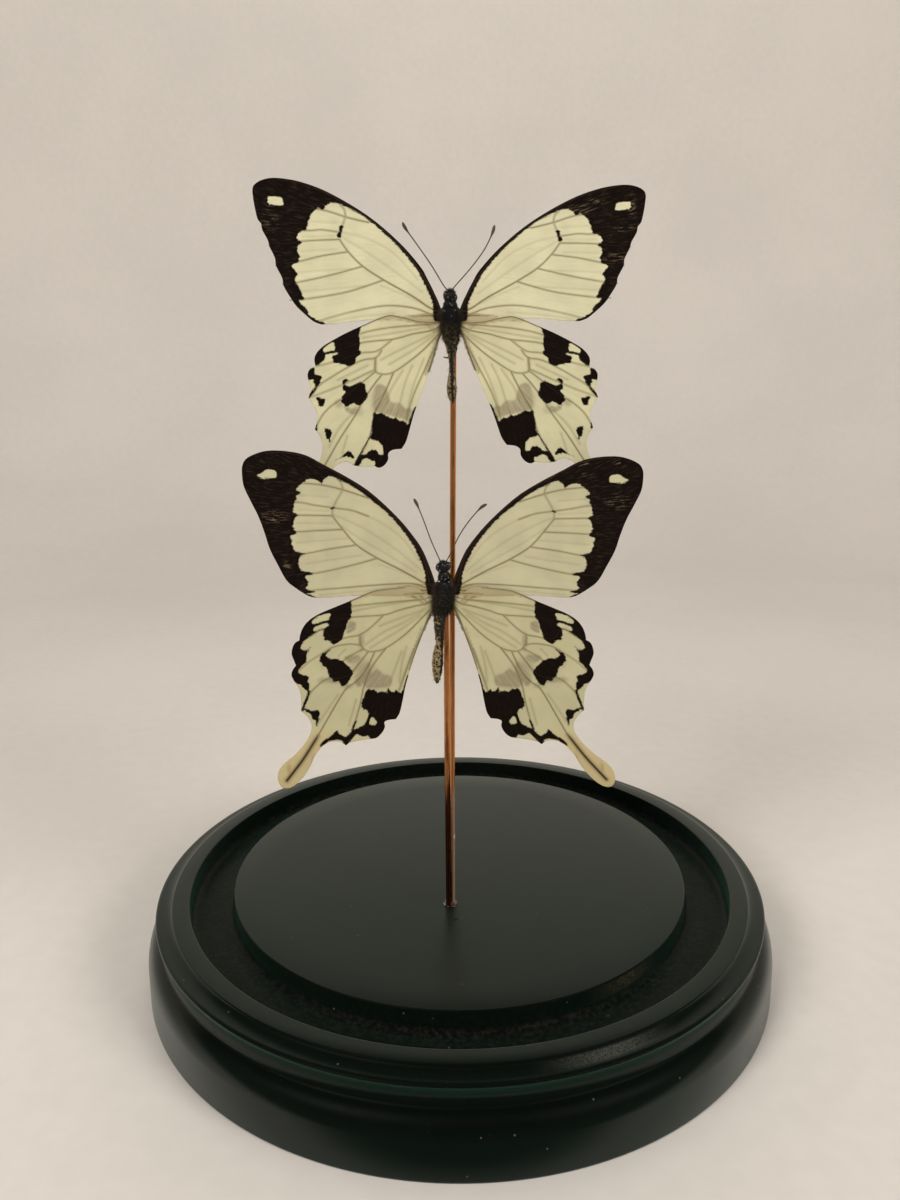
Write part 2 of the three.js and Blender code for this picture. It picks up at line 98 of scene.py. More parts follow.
# ---- wings as they lie flat: x outwards from the body, y to the head ----
# outline: smooth runs with a corner between one and the next, each from the last run's end.
# black: patches of black scales. pale: windows in them. bars: black strokes (points, half width).
# veins: (points, radius at root, at end, darkness), with painted shade beside them. folds: soft creases,
# with painted shade along them. dull and bright: soft oval patches (x, y, half width, half height,
# amount); the bright ones are painted light where the backdrop shows through a gap at the root. grey:
# patches of thin scales. under: where the wing in front covers this one, painted darker as shade seen
# through both layers. hairs: tufts (points, spread, spacing, longest). hind: 1 for a hindwing, whose
# tail_vein is the number of the vein that runs into its tail.
FOREWING_UPPER = {
    "outline": [
        [(3.4, -0.9), (1.3, -0.3)], [(1.1, 0.8), (1.5, 1.4)],
        [(2.3, 2.3), (3.3, 5), (4.9, 8), (6.6, 10.7), (11, 15.3), (17.3, 20.2), (25, 24.4), (31, 26.5),
         (36, 27.2), (39, 26.8), (40.8, 25.7), (41.1, 24.4)],
        [(40.8, 22), (40.2, 19.3), (39.5, 18.4), (39.3, 17.2), (38.2, 15.2), (37.9, 14), (36.8, 11.7),
         (36.6, 10.2), (35.4, 7.8), (35.1, 6.2), (33.8, 4), (32.5, 2.2), (30.3, 0.2), (28.8, -0.9),
         (27.3, -1.4)],
        [(24, -1.2), (20, -0.6), (15.5, -0.35), (9, -1.1), (3.4, -0.9)]
    ],
    "black": [
        [(21.7, 22), (24.7, 22.7), (26.3, 21.8), (26.7, 21.3), (27.7, 21.7), (28.8, 20.7), (29.8, 18.7),
         (30.3, 17.3), (31.2, 17.2), (32.2, 15.7), (31.2, 14.9), (32.1, 14), (31.7, 11.3), (33.2, 10.3),
         (32.2, 8.5), (32.8, 7.3), (32.2, 6.6), (31.3, 4.7), (30.9, 3.6), (32, 3.5), (31.5, 2.7),
         (30.2, 1.5), (30, 0.5), (28.3, -0.5), (26.5, -1.3), (27, -4), (45, -2), (45, 31), (21, 27),
         (14, 22), (6, 15), (0, 6), (0.6, -0.4), (2.6, -0.4), (3.4, -0.2), (3.75, 0.9), (3.65, 2.6),
         (4.5, 5), (6.05, 8), (7.5, 10.3), (11.5, 14.7), (17, 19.2)]
    ],
    "pale": [
        [(34.9, 22.2), (35, 23.4), (35.3, 23.7), (37.6, 23.6), (38, 23.3), (38, 22.4), (37.7, 22.1),
         (35.2, 22)]
    ],
    "bars": [([(22.9, 18), (23.4, 16.3)], 0.36)],
    "veins": [
        ([(2.2, 1.6), (4.5, 2.4), (8, 4.6), (14, 7.7), (18.5, 10.4), (21.5, 13.2), (23.3, 15.6)],
         0.19, 0.11, 0.35),
        ([(14.3, 7.7), (22, 5.2), (31, 3.6), (34, 3.4)], 0.12, 0.08, 0.3),
        ([(18.5, 10.4), (25, 8.6), (32, 7), (35.4, 6.5)], 0.12, 0.08, 0.3),
        ([(21.6, 13.2), (27, 12.3), (31.5, 11.2), (36.8, 10.2)], 0.12, 0.08, 0.3),
        ([(23.3, 15.6), (31, 15.1), (38, 14)], 0.12, 0.08, 0.3),
        ([(23.3, 17), (27, 17.4), (30.5, 17.2), (39.2, 17.6)], 0.11, 0.08, 0.2),
        ([(17.3, 19), (21.7, 19.9), (27, 21.3), (33, 21.6), (40.5, 22)], 0.13, 0.08, 0.3),
        ([(22, 20), (22.3, 21.5), (23, 22.2)], 0.1, 0.07, 0.2),
        ([(23.3, 15.7), (22.7, 18.2), (22, 20)], 0.08, 0.08, 0.1),
        ([(2.4, 0.9), (4.5, 1.2), (8, 2.3), (14, 2.6), (22, 1), (28, -0.8)], 0.14, 0.07, 0.3),
        ([(2.6, 0.85), (5, 0.75), (8, 0.6)], 0.17, 0.05, 0.75),
        ([(2.1, 1.6), (3.6, 5), (6.9, 10), (11.1, 14.9), (17.3, 19.8), (25, 24), (31, 26.2), (36, 26.9)],
         0.32, 0.14, 1)
    ],
    "folds": [
        [(6, 5.5), (12, 9.6), (18, 13.4), (22.4, 15.8)], [(7, 8), (12, 13), (17.5, 15.8), (22.8, 17)],
        [(6, 3.2), (11, 5.3), (14.6, 6.6)], [(24.5, 16.2), (31, 16)], [(18, 6.5), (31, 5.2)],
        [(21, 9.9), (32, 9)], [(24, 13.6), (31.5, 13.1)], [(24, 18.8), (30, 19)],
        [(12, 1.2), (20, 0.2), (26, -0.9)]
    ],
    "dull": [], "hind": 0,
    "under": [(2.6, 1), (5, 1.05), (8, 0.8), (10, 0.3), (9, -1.2), (5, -1.2), (2.6, -1)], "bright": [],
    "grey": [], "strips": [], "hairs": [([(1.4, 1.9), (2, 1), (3.4, 0.7)], 0.35, 0.02, 1.2)],
}
FOREWING_LOWER = {
    "outline": [
        [(3.4, -0.9), (1.3, -0.4)], [(1.1, 1), (1.5, 1.8)],
        [(2.1, 2.5), (2.7, 4.3), (3.15, 5.3), (4.35, 8), (5.2, 10), (8.3, 14.2), (12.3, 18.3),
         (16.7, 22), (21.3, 24.8), (26, 27.2), (30, 29.2), (34.3, 30), (38.7, 29.9), (42.3, 28.5),
         (43.5, 26.8), (43.6, 24.6)],
        [(43.2, 22.2), (41.6, 18.8), (40.2, 16), (38.9, 12.5), (37.8, 9), (36, 5.4), (34.2, 2.2),
         (32, 0.4), (29.5, -1.1), (27.7, -1.5)],
        [(24, -1.3), (20, -0.9), (15.5, -0.8), (9, -1), (3.4, -0.9)]
    ],
    "black": [
        [(22.7, 24.1), (24.7, 24.8), (26, 24.2), (26.6, 23.1), (27.3, 23.8), (29, 24.3), (30.7, 23.3),
         (31.8, 22.3), (32, 21.7), (31, 21.3), (32.2, 20.3), (31.7, 19.9), (32.3, 19.5), (32.5, 18.3),
         (32.7, 17), (31.4, 16.4), (32.3, 15.8), (32.7, 13.7), (31.9, 12.8), (33.2, 11.9), (33.1, 11),
         (32.7, 9.2), (32.3, 8.5), (30, 8.1), (31.4, 7.3), (31.3, 4.8), (28.4, 3.8), (29.9, 3.3),
         (30, 2.6), (29.5, 1.7), (30.1, 0.6), (29.7, 0.2), (28, -0.3), (30, -0.6), (28, -1.4), (29, -5),
         (48, -3), (48, 33), (20, 29), (12, 23), (5, 16), (0, 7), (0.6, -0.4), (2.4, -0.4), (3.5, -0.2),
         (3.85, 1.2), (4, 2.6), (4.15, 4.3), (4.5, 5.5), (5.6, 8), (6.8, 10.3), (8.7, 13), (11, 15.7),
         (13.3, 18), (15.7, 19.7), (17.7, 21.3), (20, 22.8)]
    ],
    "pale": [
        [(36.4, 24.3), (36.3, 25.6), (36.9, 26), (38.4, 25.9), (39.6, 25.3), (40.4, 24.7), (39.5, 24.3),
         (37.8, 24.1)]
    ],
    "bars": [([(24, 18.15), (24.35, 17.95)], 0.22)],
    "veins": [
        ([(2.2, 1.4), (4.3, 2.2), (9.5, 5), (14.5, 7.4), (19, 10.2), (22, 13.5), (24.2, 16.3)],
         0.19, 0.11, 0.35),
        ([(14.5, 7.4), (21, 5.5), (28.5, 3.8), (34.4, 3.4)], 0.12, 0.08, 0.3),
        ([(19, 10.2), (25, 9.2), (31, 8), (37.3, 7.8)], 0.12, 0.08, 0.3),
        ([(22, 13.5), (27, 13.2), (32, 12.8), (38.8, 12.2)], 0.12, 0.08, 0.3),
        ([(24.2, 16.4), (31.5, 16.4), (40.2, 16.2)], 0.12, 0.08, 0.3),
        ([(16.5, 16.4), (20, 17.6), (24, 18.1), (28, 18.6), (32, 19.2), (42, 19.6)], 0.1, 0.08, 0.3),
        ([(16.5, 20.3), (22, 22), (27, 23), (34, 23.4), (43, 23.6)], 0.13, 0.08, 0.4),
        ([(22, 22), (22.3, 23.3), (23, 24.2)], 0.1, 0.07, 0.2),
        ([(22, 22), (24, 18.4), (24.3, 16.3)], 0.08, 0.08, 0.12),
        ([(2.4, 0.8), (4, 1.2), (7, 2), (14, 1.6), (22, 0.8), (28, 0.2), (30.4, -0.2)],
         0.14, 0.08, 0.35),
        ([(2.6, 0.9), (4, 0.6), (5.4, 0.5)], 0.16, 0.1, 0.8),
        ([(2.1, 2), (3.3, 5.4), (5.3, 9.8), (8.5, 14), (12.4, 18), (16.8, 21.7), (21.4, 24.5),
         (26, 26.9), (30, 28.8), (34.3, 29.6), (38.7, 29.5)], 0.32, 0.14, 1),
        ([(3.1, 2), (4.2, 6.6), (6.1, 10.1), (9.9, 15), (14.5, 19.2)], 0.2, 0.12, 1)
    ],
    "folds": [
        [(5, 5), (10, 9), (15.5, 12.6), (20, 15), (24, 16.6)],
        [(6, 4.4), (12, 8), (18, 11.4), (22.2, 14.2)], [(5.5, 7), (9, 11.6), (14, 15.2), (19, 17.3)],
        [(6, 3.4), (14, 6)], [(25, 17.4), (31.5, 17.6)], [(18, 8), (30, 5.9)], [(21, 11.6), (32, 10.4)],
        [(24, 14.8), (32, 14.7)], [(25, 20.4), (31.5, 20.7)], [(12, 0.6), (20, -0.1), (27, -0.9)]
    ],
    "dull": [], "hind": 0,
    "under": [(2.6, 1.9), (5, 1.9), (8, 1.5), (10, 1.1), (9, -1.2), (5, -1.2), (2.6, -1)], "bright": [],
    "grey": [], "strips": [], "hairs": [([(1.4, 2.2), (2, 1), (3.2, 0.5)], 0.35, 0.02, 1.2)],
}
HINDWING_UPPER = {
    "outline": [
        [(2.7, -0.8), (1.4, -0.9)], [(1.4, -0.4), (1.6, -0.3)],
        [(4, -0.5), (6.5, -0.4), (8, -0.1), (9.5, 0.25), (11, 0.55), (13, 0.75), (15.3, 0), (18.5, -1.4),
         (22, -3), (25, -4.6), (27.2, -6), (28.5, -7.4), (28.9, -8.6), (28.7, -9.9)],
        [(29.8, -10.5), (30.4, -11.6), (30.3, -12.8)], [(29.8, -14.6), (30.3, -16.6)],
        [(28.5, -20), (29, -23.3)],
        [(27.9, -24.8), (27.5, -26.8), (28, -29.6), (30.2, -33), (32.8, -35.9), (34.7, -37.7),
         (35.3, -39.6), (34.9, -41.6), (33.6, -42.5), (31.8, -41.8), (29.7, -39.7), (27.9, -36.6),
         (26.5, -33.6), (24.7, -31.1)],
        [(22.5, -30.1), (20.5, -30.9)], [(18.2, -31.2), (16.1, -30.9)],
        [(15.1, -31.3), (13.9, -30.7), (13.1, -29.4), (13.1, -28.2), (12.2, -27.4), (10.2, -27.1)],
        [(9.2, -25.4), (8.4, -22.6), (7.5, -19.4), (6.1, -15.4), (4.6, -11.2), (3.4, -7.6), (2.7, -4.2),
         (1.6, -2.2), (1.4, -0.9)]
    ],
    "black": [
        [(18.6, -1.2), (19.3, -3), (19.2, -5), (19.3, -6.5), (19, -7.3), (20, -8.3), (20.2, -9.2),
         (21.5, -9.9), (22.3, -9.7), (23, -9.4), (24.5, -9.3), (25, -8.6), (25.1, -7.8), (24, -7.3),
         (24.5, -6.6), (24.6, -5.4), (25, -5.1), (27, -6.3), (26.5, -7.8), (27, -8.8), (28.4, -9.9),
         (28.9, -9.8), (31, -9.5), (29.5, -5), (24, -2.4), (19, 0.5)],
        [(28.8, -10.3), (30.3, -10.8), (31.5, -11.8), (30.6, -12.8), (29.3, -12.8), (29.1, -13.6),
         (28.3, -14), (27.6, -13), (27.4, -12), (28.9, -11.5)],
        [(26.9, -16.7), (28.6, -16.5), (28.2, -17.8), (27.9, -18.4), (27, -18.3), (26.8, -17.3)],
        [(25.6, -23.3), (26.8, -23.1), (26.5, -25), (25.8, -25.9), (25.5, -24.5)],
        [(18, -14), (19, -13), (20, -13.5), (21.5, -14.1), (22.3, -13.9), (22, -13.2), (21.3, -12.8),
         (22.5, -12.6), (23, -13.3), (22.8, -14.7), (22.3, -15.3), (22.9, -16.2), (23.3, -17.4),
         (22.7, -17.8), (22, -18.3), (20.7, -17.5), (19.7, -18), (19, -17.9), (18.2, -17.1),
         (17.5, -15.8), (18, -15)],
        [(6.9, -18.4), (8.2, -20.5), (9, -21.9), (9.4, -21.3), (11, -20.9), (11.2, -20.5), (12.2, -20.7),
         (13.6, -20.1), (14.5, -19.5), (15.5, -19.8), (16, -19.4), (16.4, -20), (16.6, -22),
         (16.7, -23.5), (17.3, -25), (16.8, -25.3), (15.8, -25.4), (14.8, -26.1), (14.3, -27),
         (14.3, -28.3), (15, -28.4), (15.5, -27.7), (16, -27.3), (17.2, -27.7), (18, -28.4), (19, -28.7),
         (19.7, -29.3), (20.6, -30.9), (19.5, -30.8), (18.4, -29.4), (17.3, -29.4), (16.7, -29.8),
         (16, -30), (15.9, -31.2), (15, -33), (11, -30), (7, -26), (6, -20)],
        [(20.5, -29.2), (21, -28.3), (21.8, -27.7), (22.8, -28.5), (24, -29.5), (24.6, -29.8),
         (23.5, -29.4), (22, -29), (20.6, -29.4)]
    ],
    "pale": [],
    "bars": [
        ([(25, -4.7), (27, -6), (28.4, -7.3)], 0.32), ([(28.2, -13.8), (30.2, -16.5)], 0.24),
        ([(24.2, -6.9), (26.9, -7.4)], 0.22), ([(28.9, -22.5), (28.9, -23.3)], 0.3),
        ([(17.2, -24.8), (19.6, -29.2)], 0.22), ([(7.2, -18.4), (8.4, -21.4), (9, -24)], 0.3)
    ],
    "veins": [
        ([(1.8, -0.4), (5, -1), (13, -1.8), (18.7, -3), (24, -5)], 0.13, 0.08, 0.25),
        ([(1.8, -1), (4, -2.2), (8, -3), (12, -4.1), (18.9, -5), (24.6, -7)], 0.15, 0.08, 0.3),
        ([(12.3, -4.2), (15.5, -6.6), (18.9, -7.1), (24, -8.8), (28.6, -10)], 0.11, 0.08, 0.25),
        ([(14.5, -6.4), (15.8, -8), (18.8, -8.6), (22.5, -10.5), (25.5, -12.3), (28, -14),
         (30.1, -16.5)], 0.11, 0.09, 0.45),
        ([(1.8, -2), (3.5, -4), (6, -6.5), (9, -8.9), (12, -10.9), (14, -11.4), (15.6, -11.1),
         (16, -10.4), (15.8, -8)], 0.15, 0.09, 0.35),
        ([(16, -10.5), (18, -11.4), (20, -12.4), (25, -14.6), (30.2, -16.6)], 0.1, 0.07, 0.25),
        ([(15.8, -10.8), (18.5, -13), (22, -15.9), (25.5, -18.3), (27.6, -20.6), (28.9, -23.2)],
         0.12, 0.09, 0.5),
        ([(14.5, -11.5), (16.5, -14), (18.8, -17.5), (20.5, -20.5), (23.5, -25), (26.6, -30.3),
         (29.4, -35), (33.5, -40.5)], 0.13, 0.11, 0.5),
        ([(12, -11), (14, -15.5), (16, -19.5), (17.3, -25), (19.7, -29.5), (20.5, -30.8)],
         0.13, 0.1, 0.5),
        ([(1.9, -3), (3.6, -6.4), (5.5, -10.6), (7.6, -15.4), (9, -20), (10.6, -26.6)], 0.12, 0.08, 0.4),
        ([(2.6, -0.6), (6.5, -0.5), (9.5, 0.15), (11, 0.45), (13, 0.65), (15.3, -0.1), (18.5, -1.5)],
         0.12, 0.14, 0.5),
        ([(5.4, -0.6), (4.5, -1.5), (3.4, -2.5)], 0.1, 0.07, 0.35),
        ([(4.3, -0.9), (3.6, -1.6), (2.8, -2.2)], 0.1, 0.06, 0.35),
        ([(1.9, -1.8), (2.7, -4.2), (3.5, -7.4), (4.6, -10.8)], 0.3, 0.12, 0.85)
    ],
    "folds": [
        [(3, -2.5), (8, -5), (12, -7), (14.8, -8.5)], [(3.4, -3.2), (8, -6.4), (13, -9.4)],
        [(8, -9.5), (9.5, -13), (10.5, -17), (11.5, -20.5)],
        [(5.5, -8), (7.5, -13), (8.8, -18), (9, -21)], [(10, -10.5), (12.5, -14.5), (13.5, -17.5)],
        [(5, -1.6), (12, -2.9), (18.6, -4)], [(17.5, -9.6), (24, -12.8)],
        [(20, -19), (23.5, -22.6), (26, -27)], [(22, -24.5), (23.2, -28.6)]
    ],
    "dull": [
        (15.6, -17, 1.1, 2.6, 0.7), (23.8, -17.8, 0.9, 0.9, 0.6), (13, -18.8, 0.9, 1.2, 0.5),
        (15.9, -9.4, 0.4, 1.5, 0.6), (19.8, -19.2, 1.2, 1, 0.5), (10.6, -19.4, 0.8, 1.2, 0.5)
    ],
    "under": [
        (3, -0.2), (6.5, 0), (9.5, 0.8), (13, 1.3), (16, 0.6), (15, -0.4), (12, -0.1), (9, -0.5),
        (6, -1), (3, -1.1)
    ],
    "bright": [(3.6, -1.3, 0.5, 0.5, 0.8)],
    "grey": [
        [(8, -18.6), (9.5, -18.4), (10.5, -17.3), (12.5, -17), (13.6, -14), (15.6, -13.6), (16.4, -16),
         (16.2, -19), (13, -20), (10, -20.8), (8.6, -21)],
        [(19.4, -18.4), (21.4, -18.6), (22.5, -18), (22.4, -19.2), (20.5, -20)]
    ],
    "hind": 1, "tail_vein": 7, "strips": [[(2.9, -4), (3.8, -6.9), (5.1, -11)]],
    "hairs": [([(1.9, -2.2), (2.5, -4.2), (3.3, -7.2), (4.4, -10.6)], 0.12, 0.03, 0.7)],
}
HINDWING_LOWER = {
    "outline": [
        [(2.8, -0.8), (1.4, -1)], [(1.4, -0.6), (1.6, -0.5)],
        [(3, -0.45), (4.2, -0.1), (5.4, 0.75), (7, 1.3), (10, 1.05), (13.5, 0.6), (15.2, 0.25),
         (17.2, -0.55), (20.5, -2.1), (24, -3.6), (27.5, -5.2), (29.6, -6.7), (30.8, -8.3), (31.4, -10),
         (31.5, -11)],
        [(32.5, -11.6), (33.1, -12.9), (33.2, -14.2), (32.7, -15.6), (32.3, -16.6)],
        [(33, -17.6), (33.3, -18.8), (32.8, -20)], [(31.5, -22.2), (31.2, -24.6), (31.2, -26.9)],
        [(29.9, -28.1), (29, -29.6), (29, -31.4), (30.2, -34), (32.6, -36.9), (34.9, -38.9),
         (36.2, -40.6), (36.5, -42.6), (35.9, -44.2), (34.6, -44.8), (32.8, -44.1), (30.8, -42.1),
         (29.2, -39.5), (28.2, -37.2), (26.5, -34.9), (24.6, -33.8), (22.4, -33.8)],
        [(21.2, -34.6)], [(20.6, -34)], [(18.2, -33.4), (15.7, -33)],
        [(14.4, -32.7), (13.2, -31.5), (12.6, -30.2), (12.7, -29.1), (11.8, -28.6), (10.2, -28.4)],
        [(9.3, -26.8), (8.7, -24), (8.1, -20.8), (7.1, -17), (5.8, -12.8), (4.4, -8.8), (3.2, -5.4),
         (1.8, -2.6), (1.4, -1)]
    ],
    "black": [
        [(20.2, -1.6), (20.1, -4), (20.3, -5.9), (20.8, -6.3), (21.3, -8), (22.1, -10.3), (23.2, -11.5),
         (24.2, -11.6), (24.9, -10.9), (26, -10.8), (26.2, -8.8), (25.9, -8.1), (25, -7.4), (25.2, -6.9),
         (26.2, -7.1), (28, -7.9), (28.5, -8.6), (27.8, -8.9), (26.4, -8.4), (28, -9.3), (30.2, -10.8),
         (31.1, -12), (31.2, -12.9), (30.2, -13.2), (28.7, -12.2), (30, -14), (30, -15.5), (31, -16.7),
         (31.7, -17.8), (31.3, -18.6), (30, -18.9), (29.4, -19.2), (29.7, -20.2), (29.3, -21),
         (29.5, -22.6), (30.3, -22), (31.5, -20.9), (33.2, -20.1), (35, -19), (35, -12), (33, -8),
         (28, -3.5), (21, 0)],
        [(30.9, -26.6), (29.9, -26.4), (28.9, -26.9), (27.4, -26.6), (27.2, -28), (27.5, -29.8),
         (27.9, -30.4), (28, -29.2), (28.7, -28.5), (29.1, -27.6), (30.2, -26.9)],
        [(24.5, -12.6), (25.8, -13.5), (26.5, -13.8), (27, -15), (26.7, -16), (25.5, -17.2),
         (25.1, -18.5), (25.1, -19.2), (24.3, -19.5), (23.9, -20.3), (23, -20), (22.3, -20.9),
         (21.3, -20.8), (20.6, -19.9), (20.1, -19.2), (19.7, -18), (20.3, -17.1), (21.2, -16.2),
         (22, -15.5), (23.3, -15), (24.7, -14.9), (25.5, -14.7), (25.7, -14.2)],
        [(7.7, -19), (8.3, -20.6), (8.8, -21.8), (9.3, -22.4), (10, -21.8), (11, -22.2), (11.9, -21.4),
         (12.3, -22.4), (13.5, -22.2), (14.5, -22.4), (15, -21.9), (16.3, -21.7), (16.8, -22),
         (17.1, -23), (17.7, -24.5), (17.9, -25.7), (17.3, -26.4), (16.6, -26.4), (16.3, -26.9),
         (16.5, -28), (16.9, -29.2), (17.4, -30), (18.3, -30.3), (19.6, -31), (20.4, -31.7), (21, -32.4),
         (21.3, -32.8), (22.3, -32.1), (22.9, -32), (23.1, -31.2), (23.8, -31.7), (25, -32.7),
         (26, -33.4), (27, -34.6), (27.1, -35.1), (26.2, -34.6), (25, -33.9), (23.5, -33.4), (22, -33.6),
         (21.5, -34.5), (20.9, -34.4), (20.2, -33.5), (19, -32.1), (18, -32.3), (17.2, -32.5),
         (16.3, -32.1), (15.8, -33), (15, -34), (12, -32), (11, -30), (8, -28), (7, -24)]
    ],
    "pale": [
        [(25, -4.8), (27.5, -5.7), (28.8, -6.8), (28.3, -7.3), (26.5, -6.7), (25, -6.1)],
        [(14.5, -29), (15.5, -28), (16, -28.7), (16, -29.6), (14.9, -29.8)]
    ],
    "bars": [
        ([(29.4, -22.3), (30.1, -24.5), (31, -26.7)], 0.24), ([(19, -29), (19.9, -31)], 0.16),
        ([(7.5, -18.6), (8.6, -22.5), (9.3, -26)], 0.3)
    ],
    "veins": [
        ([(1.8, -0.4), (4, -1.3), (10, -2), (16, -2.7), (20, -3.3), (24, -4.6)], 0.13, 0.08, 0.3),
        ([(1.8, -1.2), (4, -2.4), (6.5, -3), (10, -4), (13, -5), (20.3, -5.7), (25.5, -7)],
         0.15, 0.08, 0.3),
        ([(13, -5), (15.5, -7.5), (18, -9.4), (20.5, -10), (24, -10.6), (26.3, -8.3), (28.3, -9.5),
         (31.2, -11.3)], 0.12, 0.08, 0.35),
        ([(1.8, -2.4), (4.5, -5.3), (7.5, -8.5), (10.5, -11), (13.5, -12.8), (16.3, -13.2),
         (17.5, -12.5), (18.2, -11.2), (18.2, -9.5)], 0.15, 0.09, 0.35),
        ([(18.2, -11.8), (20.5, -11.6), (24, -12.3), (26.5, -13.8), (29.5, -15.8), (32.2, -18.3)],
         0.1, 0.08, 0.35),
        ([(17.4, -12.6), (20.5, -14.3), (22, -15.5), (24, -17.4)], 0.1, 0.08, 0.3),
        ([(16.4, -13.3), (18.5, -16), (20, -18), (22.5, -19.3), (25.5, -19.5), (27.5, -21), (29.3, -23),
         (31, -26.8)], 0.12, 0.09, 0.4),
        ([(15, -13.4), (17, -17.5), (19, -20), (21.5, -22), (25, -28), (27.5, -32.5)], 0.13, 0.13, 0.45),
        ([(27.5, -32.5), (30.5, -37.5), (33, -41), (34.5, -43)], 0.14, 0.2, 1),
        ([(12.5, -12.4), (14.5, -15), (16, -17.5), (17.3, -21), (18.2, -25.5), (19.8, -31), (21, -34)],
         0.13, 0.1, 0.45),
        ([(1.9, -3.6), (4.2, -8), (6.6, -13.4), (8.4, -18.4), (9.6, -22), (11, -28)], 0.12, 0.08, 0.4),
        ([(4.3, -0.2), (6.4, -0.15), (8.6, -0.45)], 0.13, 0.05, 0.7),
        ([(8.5, 1.15), (10, 0.95), (13.5, 0.5), (15.2, 0.15), (17.2, -0.65), (20.3, -2.1)],
         0.09, 0.15, 0.5),
        ([(6.8, -0.8), (5.4, -1.6), (4, -2.6)], 0.1, 0.07, 0.4),
        ([(5, -0.7), (4.2, -1.5), (3.4, -2.3)], 0.1, 0.07, 0.4),
        ([(2.1, -2.8), (3.4, -5.7), (4.6, -9), (6, -13), (7.3, -17.1)], 0.28, 0.1, 0.75)
    ],
    "folds": [
        [(4, -3.5), (9, -5.5), (14, -7.5)], [(4.5, -4), (9, -6.8), (13, -8.8), (17, -11.7)],
        [(5, -5), (9, -8), (12.5, -10.2), (16, -12.5)], [(9, -13), (10.5, -17), (11.5, -20)],
        [(6.5, -12.5), (8, -17), (9.3, -21.5)], [(8, -12), (9, -16), (9.5, -20)],
        [(5.3, -1.6), (12, -2.7), (19.8, -4.3)], [(19.5, -8), (21, -9)], [(19, -24), (20.6, -30)],
        [(23, -23), (27.4, -29.6)], [(21.4, -12.8), (23, -14.4)]
    ],
    "dull": [
        (14.2, -19.8, 2.1, 1.7, 0.75), (17.6, -17.4, 2.3, 2.4, 0.55), (19, -15, 1.2, 1, 0.55),
        (26, -19.9, 1.4, 0.7, 0.6), (21, -21.1, 1.2, 0.6, 0.6), (20.3, -7.6, 0.7, 0.9, 0.55),
        (17.9, -11.2, 0.6, 1.9, 0.7), (18.4, -20.6, 0.7, 0.6, 0.9), (28.5, -38, 0.5, 1.4, 0.8),
        (34, -40.2, 0.5, 1.2, 0.9), (26.5, -16, 0.6, 1, 0.3)
    ],
    "under": [
        (3, 1.2), (7, 1.9), (10, 1.6), (13.5, 1.1), (16, 0.5), (19.5, -1), (20.2, -1.9), (17, -1),
        (14, -0.7), (10, -0.75), (7, -1), (3, -1)
    ],
    "bright": [(3.7, -1.1, 0.5, 0.5, 1)],
    "grey": [
        [(19.2, -18.8), (17.7, -17), (16.8, -15.7), (15.9, -15.7), (15.5, -17.8), (14.6, -17),
         (12.8, -18.2), (11.3, -18.6), (11.3, -20.8), (13.7, -21.4), (16.7, -21.5), (17.6, -20.5),
         (19.3, -20.5)],
        [(20.8, -6.6), (19.2, -6.8), (19.3, -8.4), (21.2, -9.2)],
        [(21.6, -14.5), (18.6, -14), (18.1, -14.9), (20.3, -16)],
        [(25.4, -19.3), (21.9, -19.6), (21.1, -20.6), (25.8, -20.3)]
    ],
    "hind": 1, "tail_vein": 8, "strips": [[(4.6, -8), (5.9, -11.8), (7, -15.4)]],
    "hairs": [([(1.9, -2.4), (2.5, -3.8), (3.2, -5.6), (4.1, -8)], 0.14, 0.025, 0.8)],
}
WING_FORMS = {
    ("upper", "forewing"): FOREWING_UPPER, ("upper", "hindwing"): HINDWING_UPPER,
    ("lower", "forewing"): FOREWING_LOWER, ("lower", "hindwing"): HINDWING_LOWER,
}
# Places where black scales are rubbed off (x, y, half width, half height, amount).
SCUFFS = {
    ("upper", "forewing", "left"): [(37.5, 19, 1.5, 2.5, 0.3)],
    ("upper", "forewing", "right"): [(28, 22.6, 2.4, 0.9, 0.5), (31, 24, 1.8, 0.6, 0.6),
                                     (38.4, 22.5, 0.7, 2.6, 0.5), (35, 12, 2.4, 0.8, 0.6),
                                     (36.5, 18, 2, 0.6, 0.5)],
    ("lower", "forewing", "left"): [(36.8, 16, 2.2, 1.1, 0.9), (34, 5.5, 0.9, 0.7, 0.7)],
    ("lower", "forewing", "right"): [(30.5, 28.5, 1.4, 0.5, 0.8), (24, 25.5, 0.8, 0.4, 0.6),
                                     (31, 26, 0.9, 0.5, 0.6), (38, 28.7, 1, 0.4, 0.7),
                                     (38, 20, 2.5, 1.5, 0.35)],
}
# A right wing is its left one stretched and swung: (wide, sway, rise, long, tail swing).
AS_TRACED = (1, 0, 0, 1, 0)
RIGHT_SETTINGS = {
    ("upper", "forewing"): (0.997, -0.051, 0.056, 0.923, 0),
    ("upper", "hindwing"): (1.009, -0.088, 0.02, 0.961, 0),
    ("lower", "forewing"): (0.981, -0.017, 0.034, 0.959, 0),
    ("lower", "hindwing"): (0.987, -0.028, 0.034, 0.992, 2.2),
}

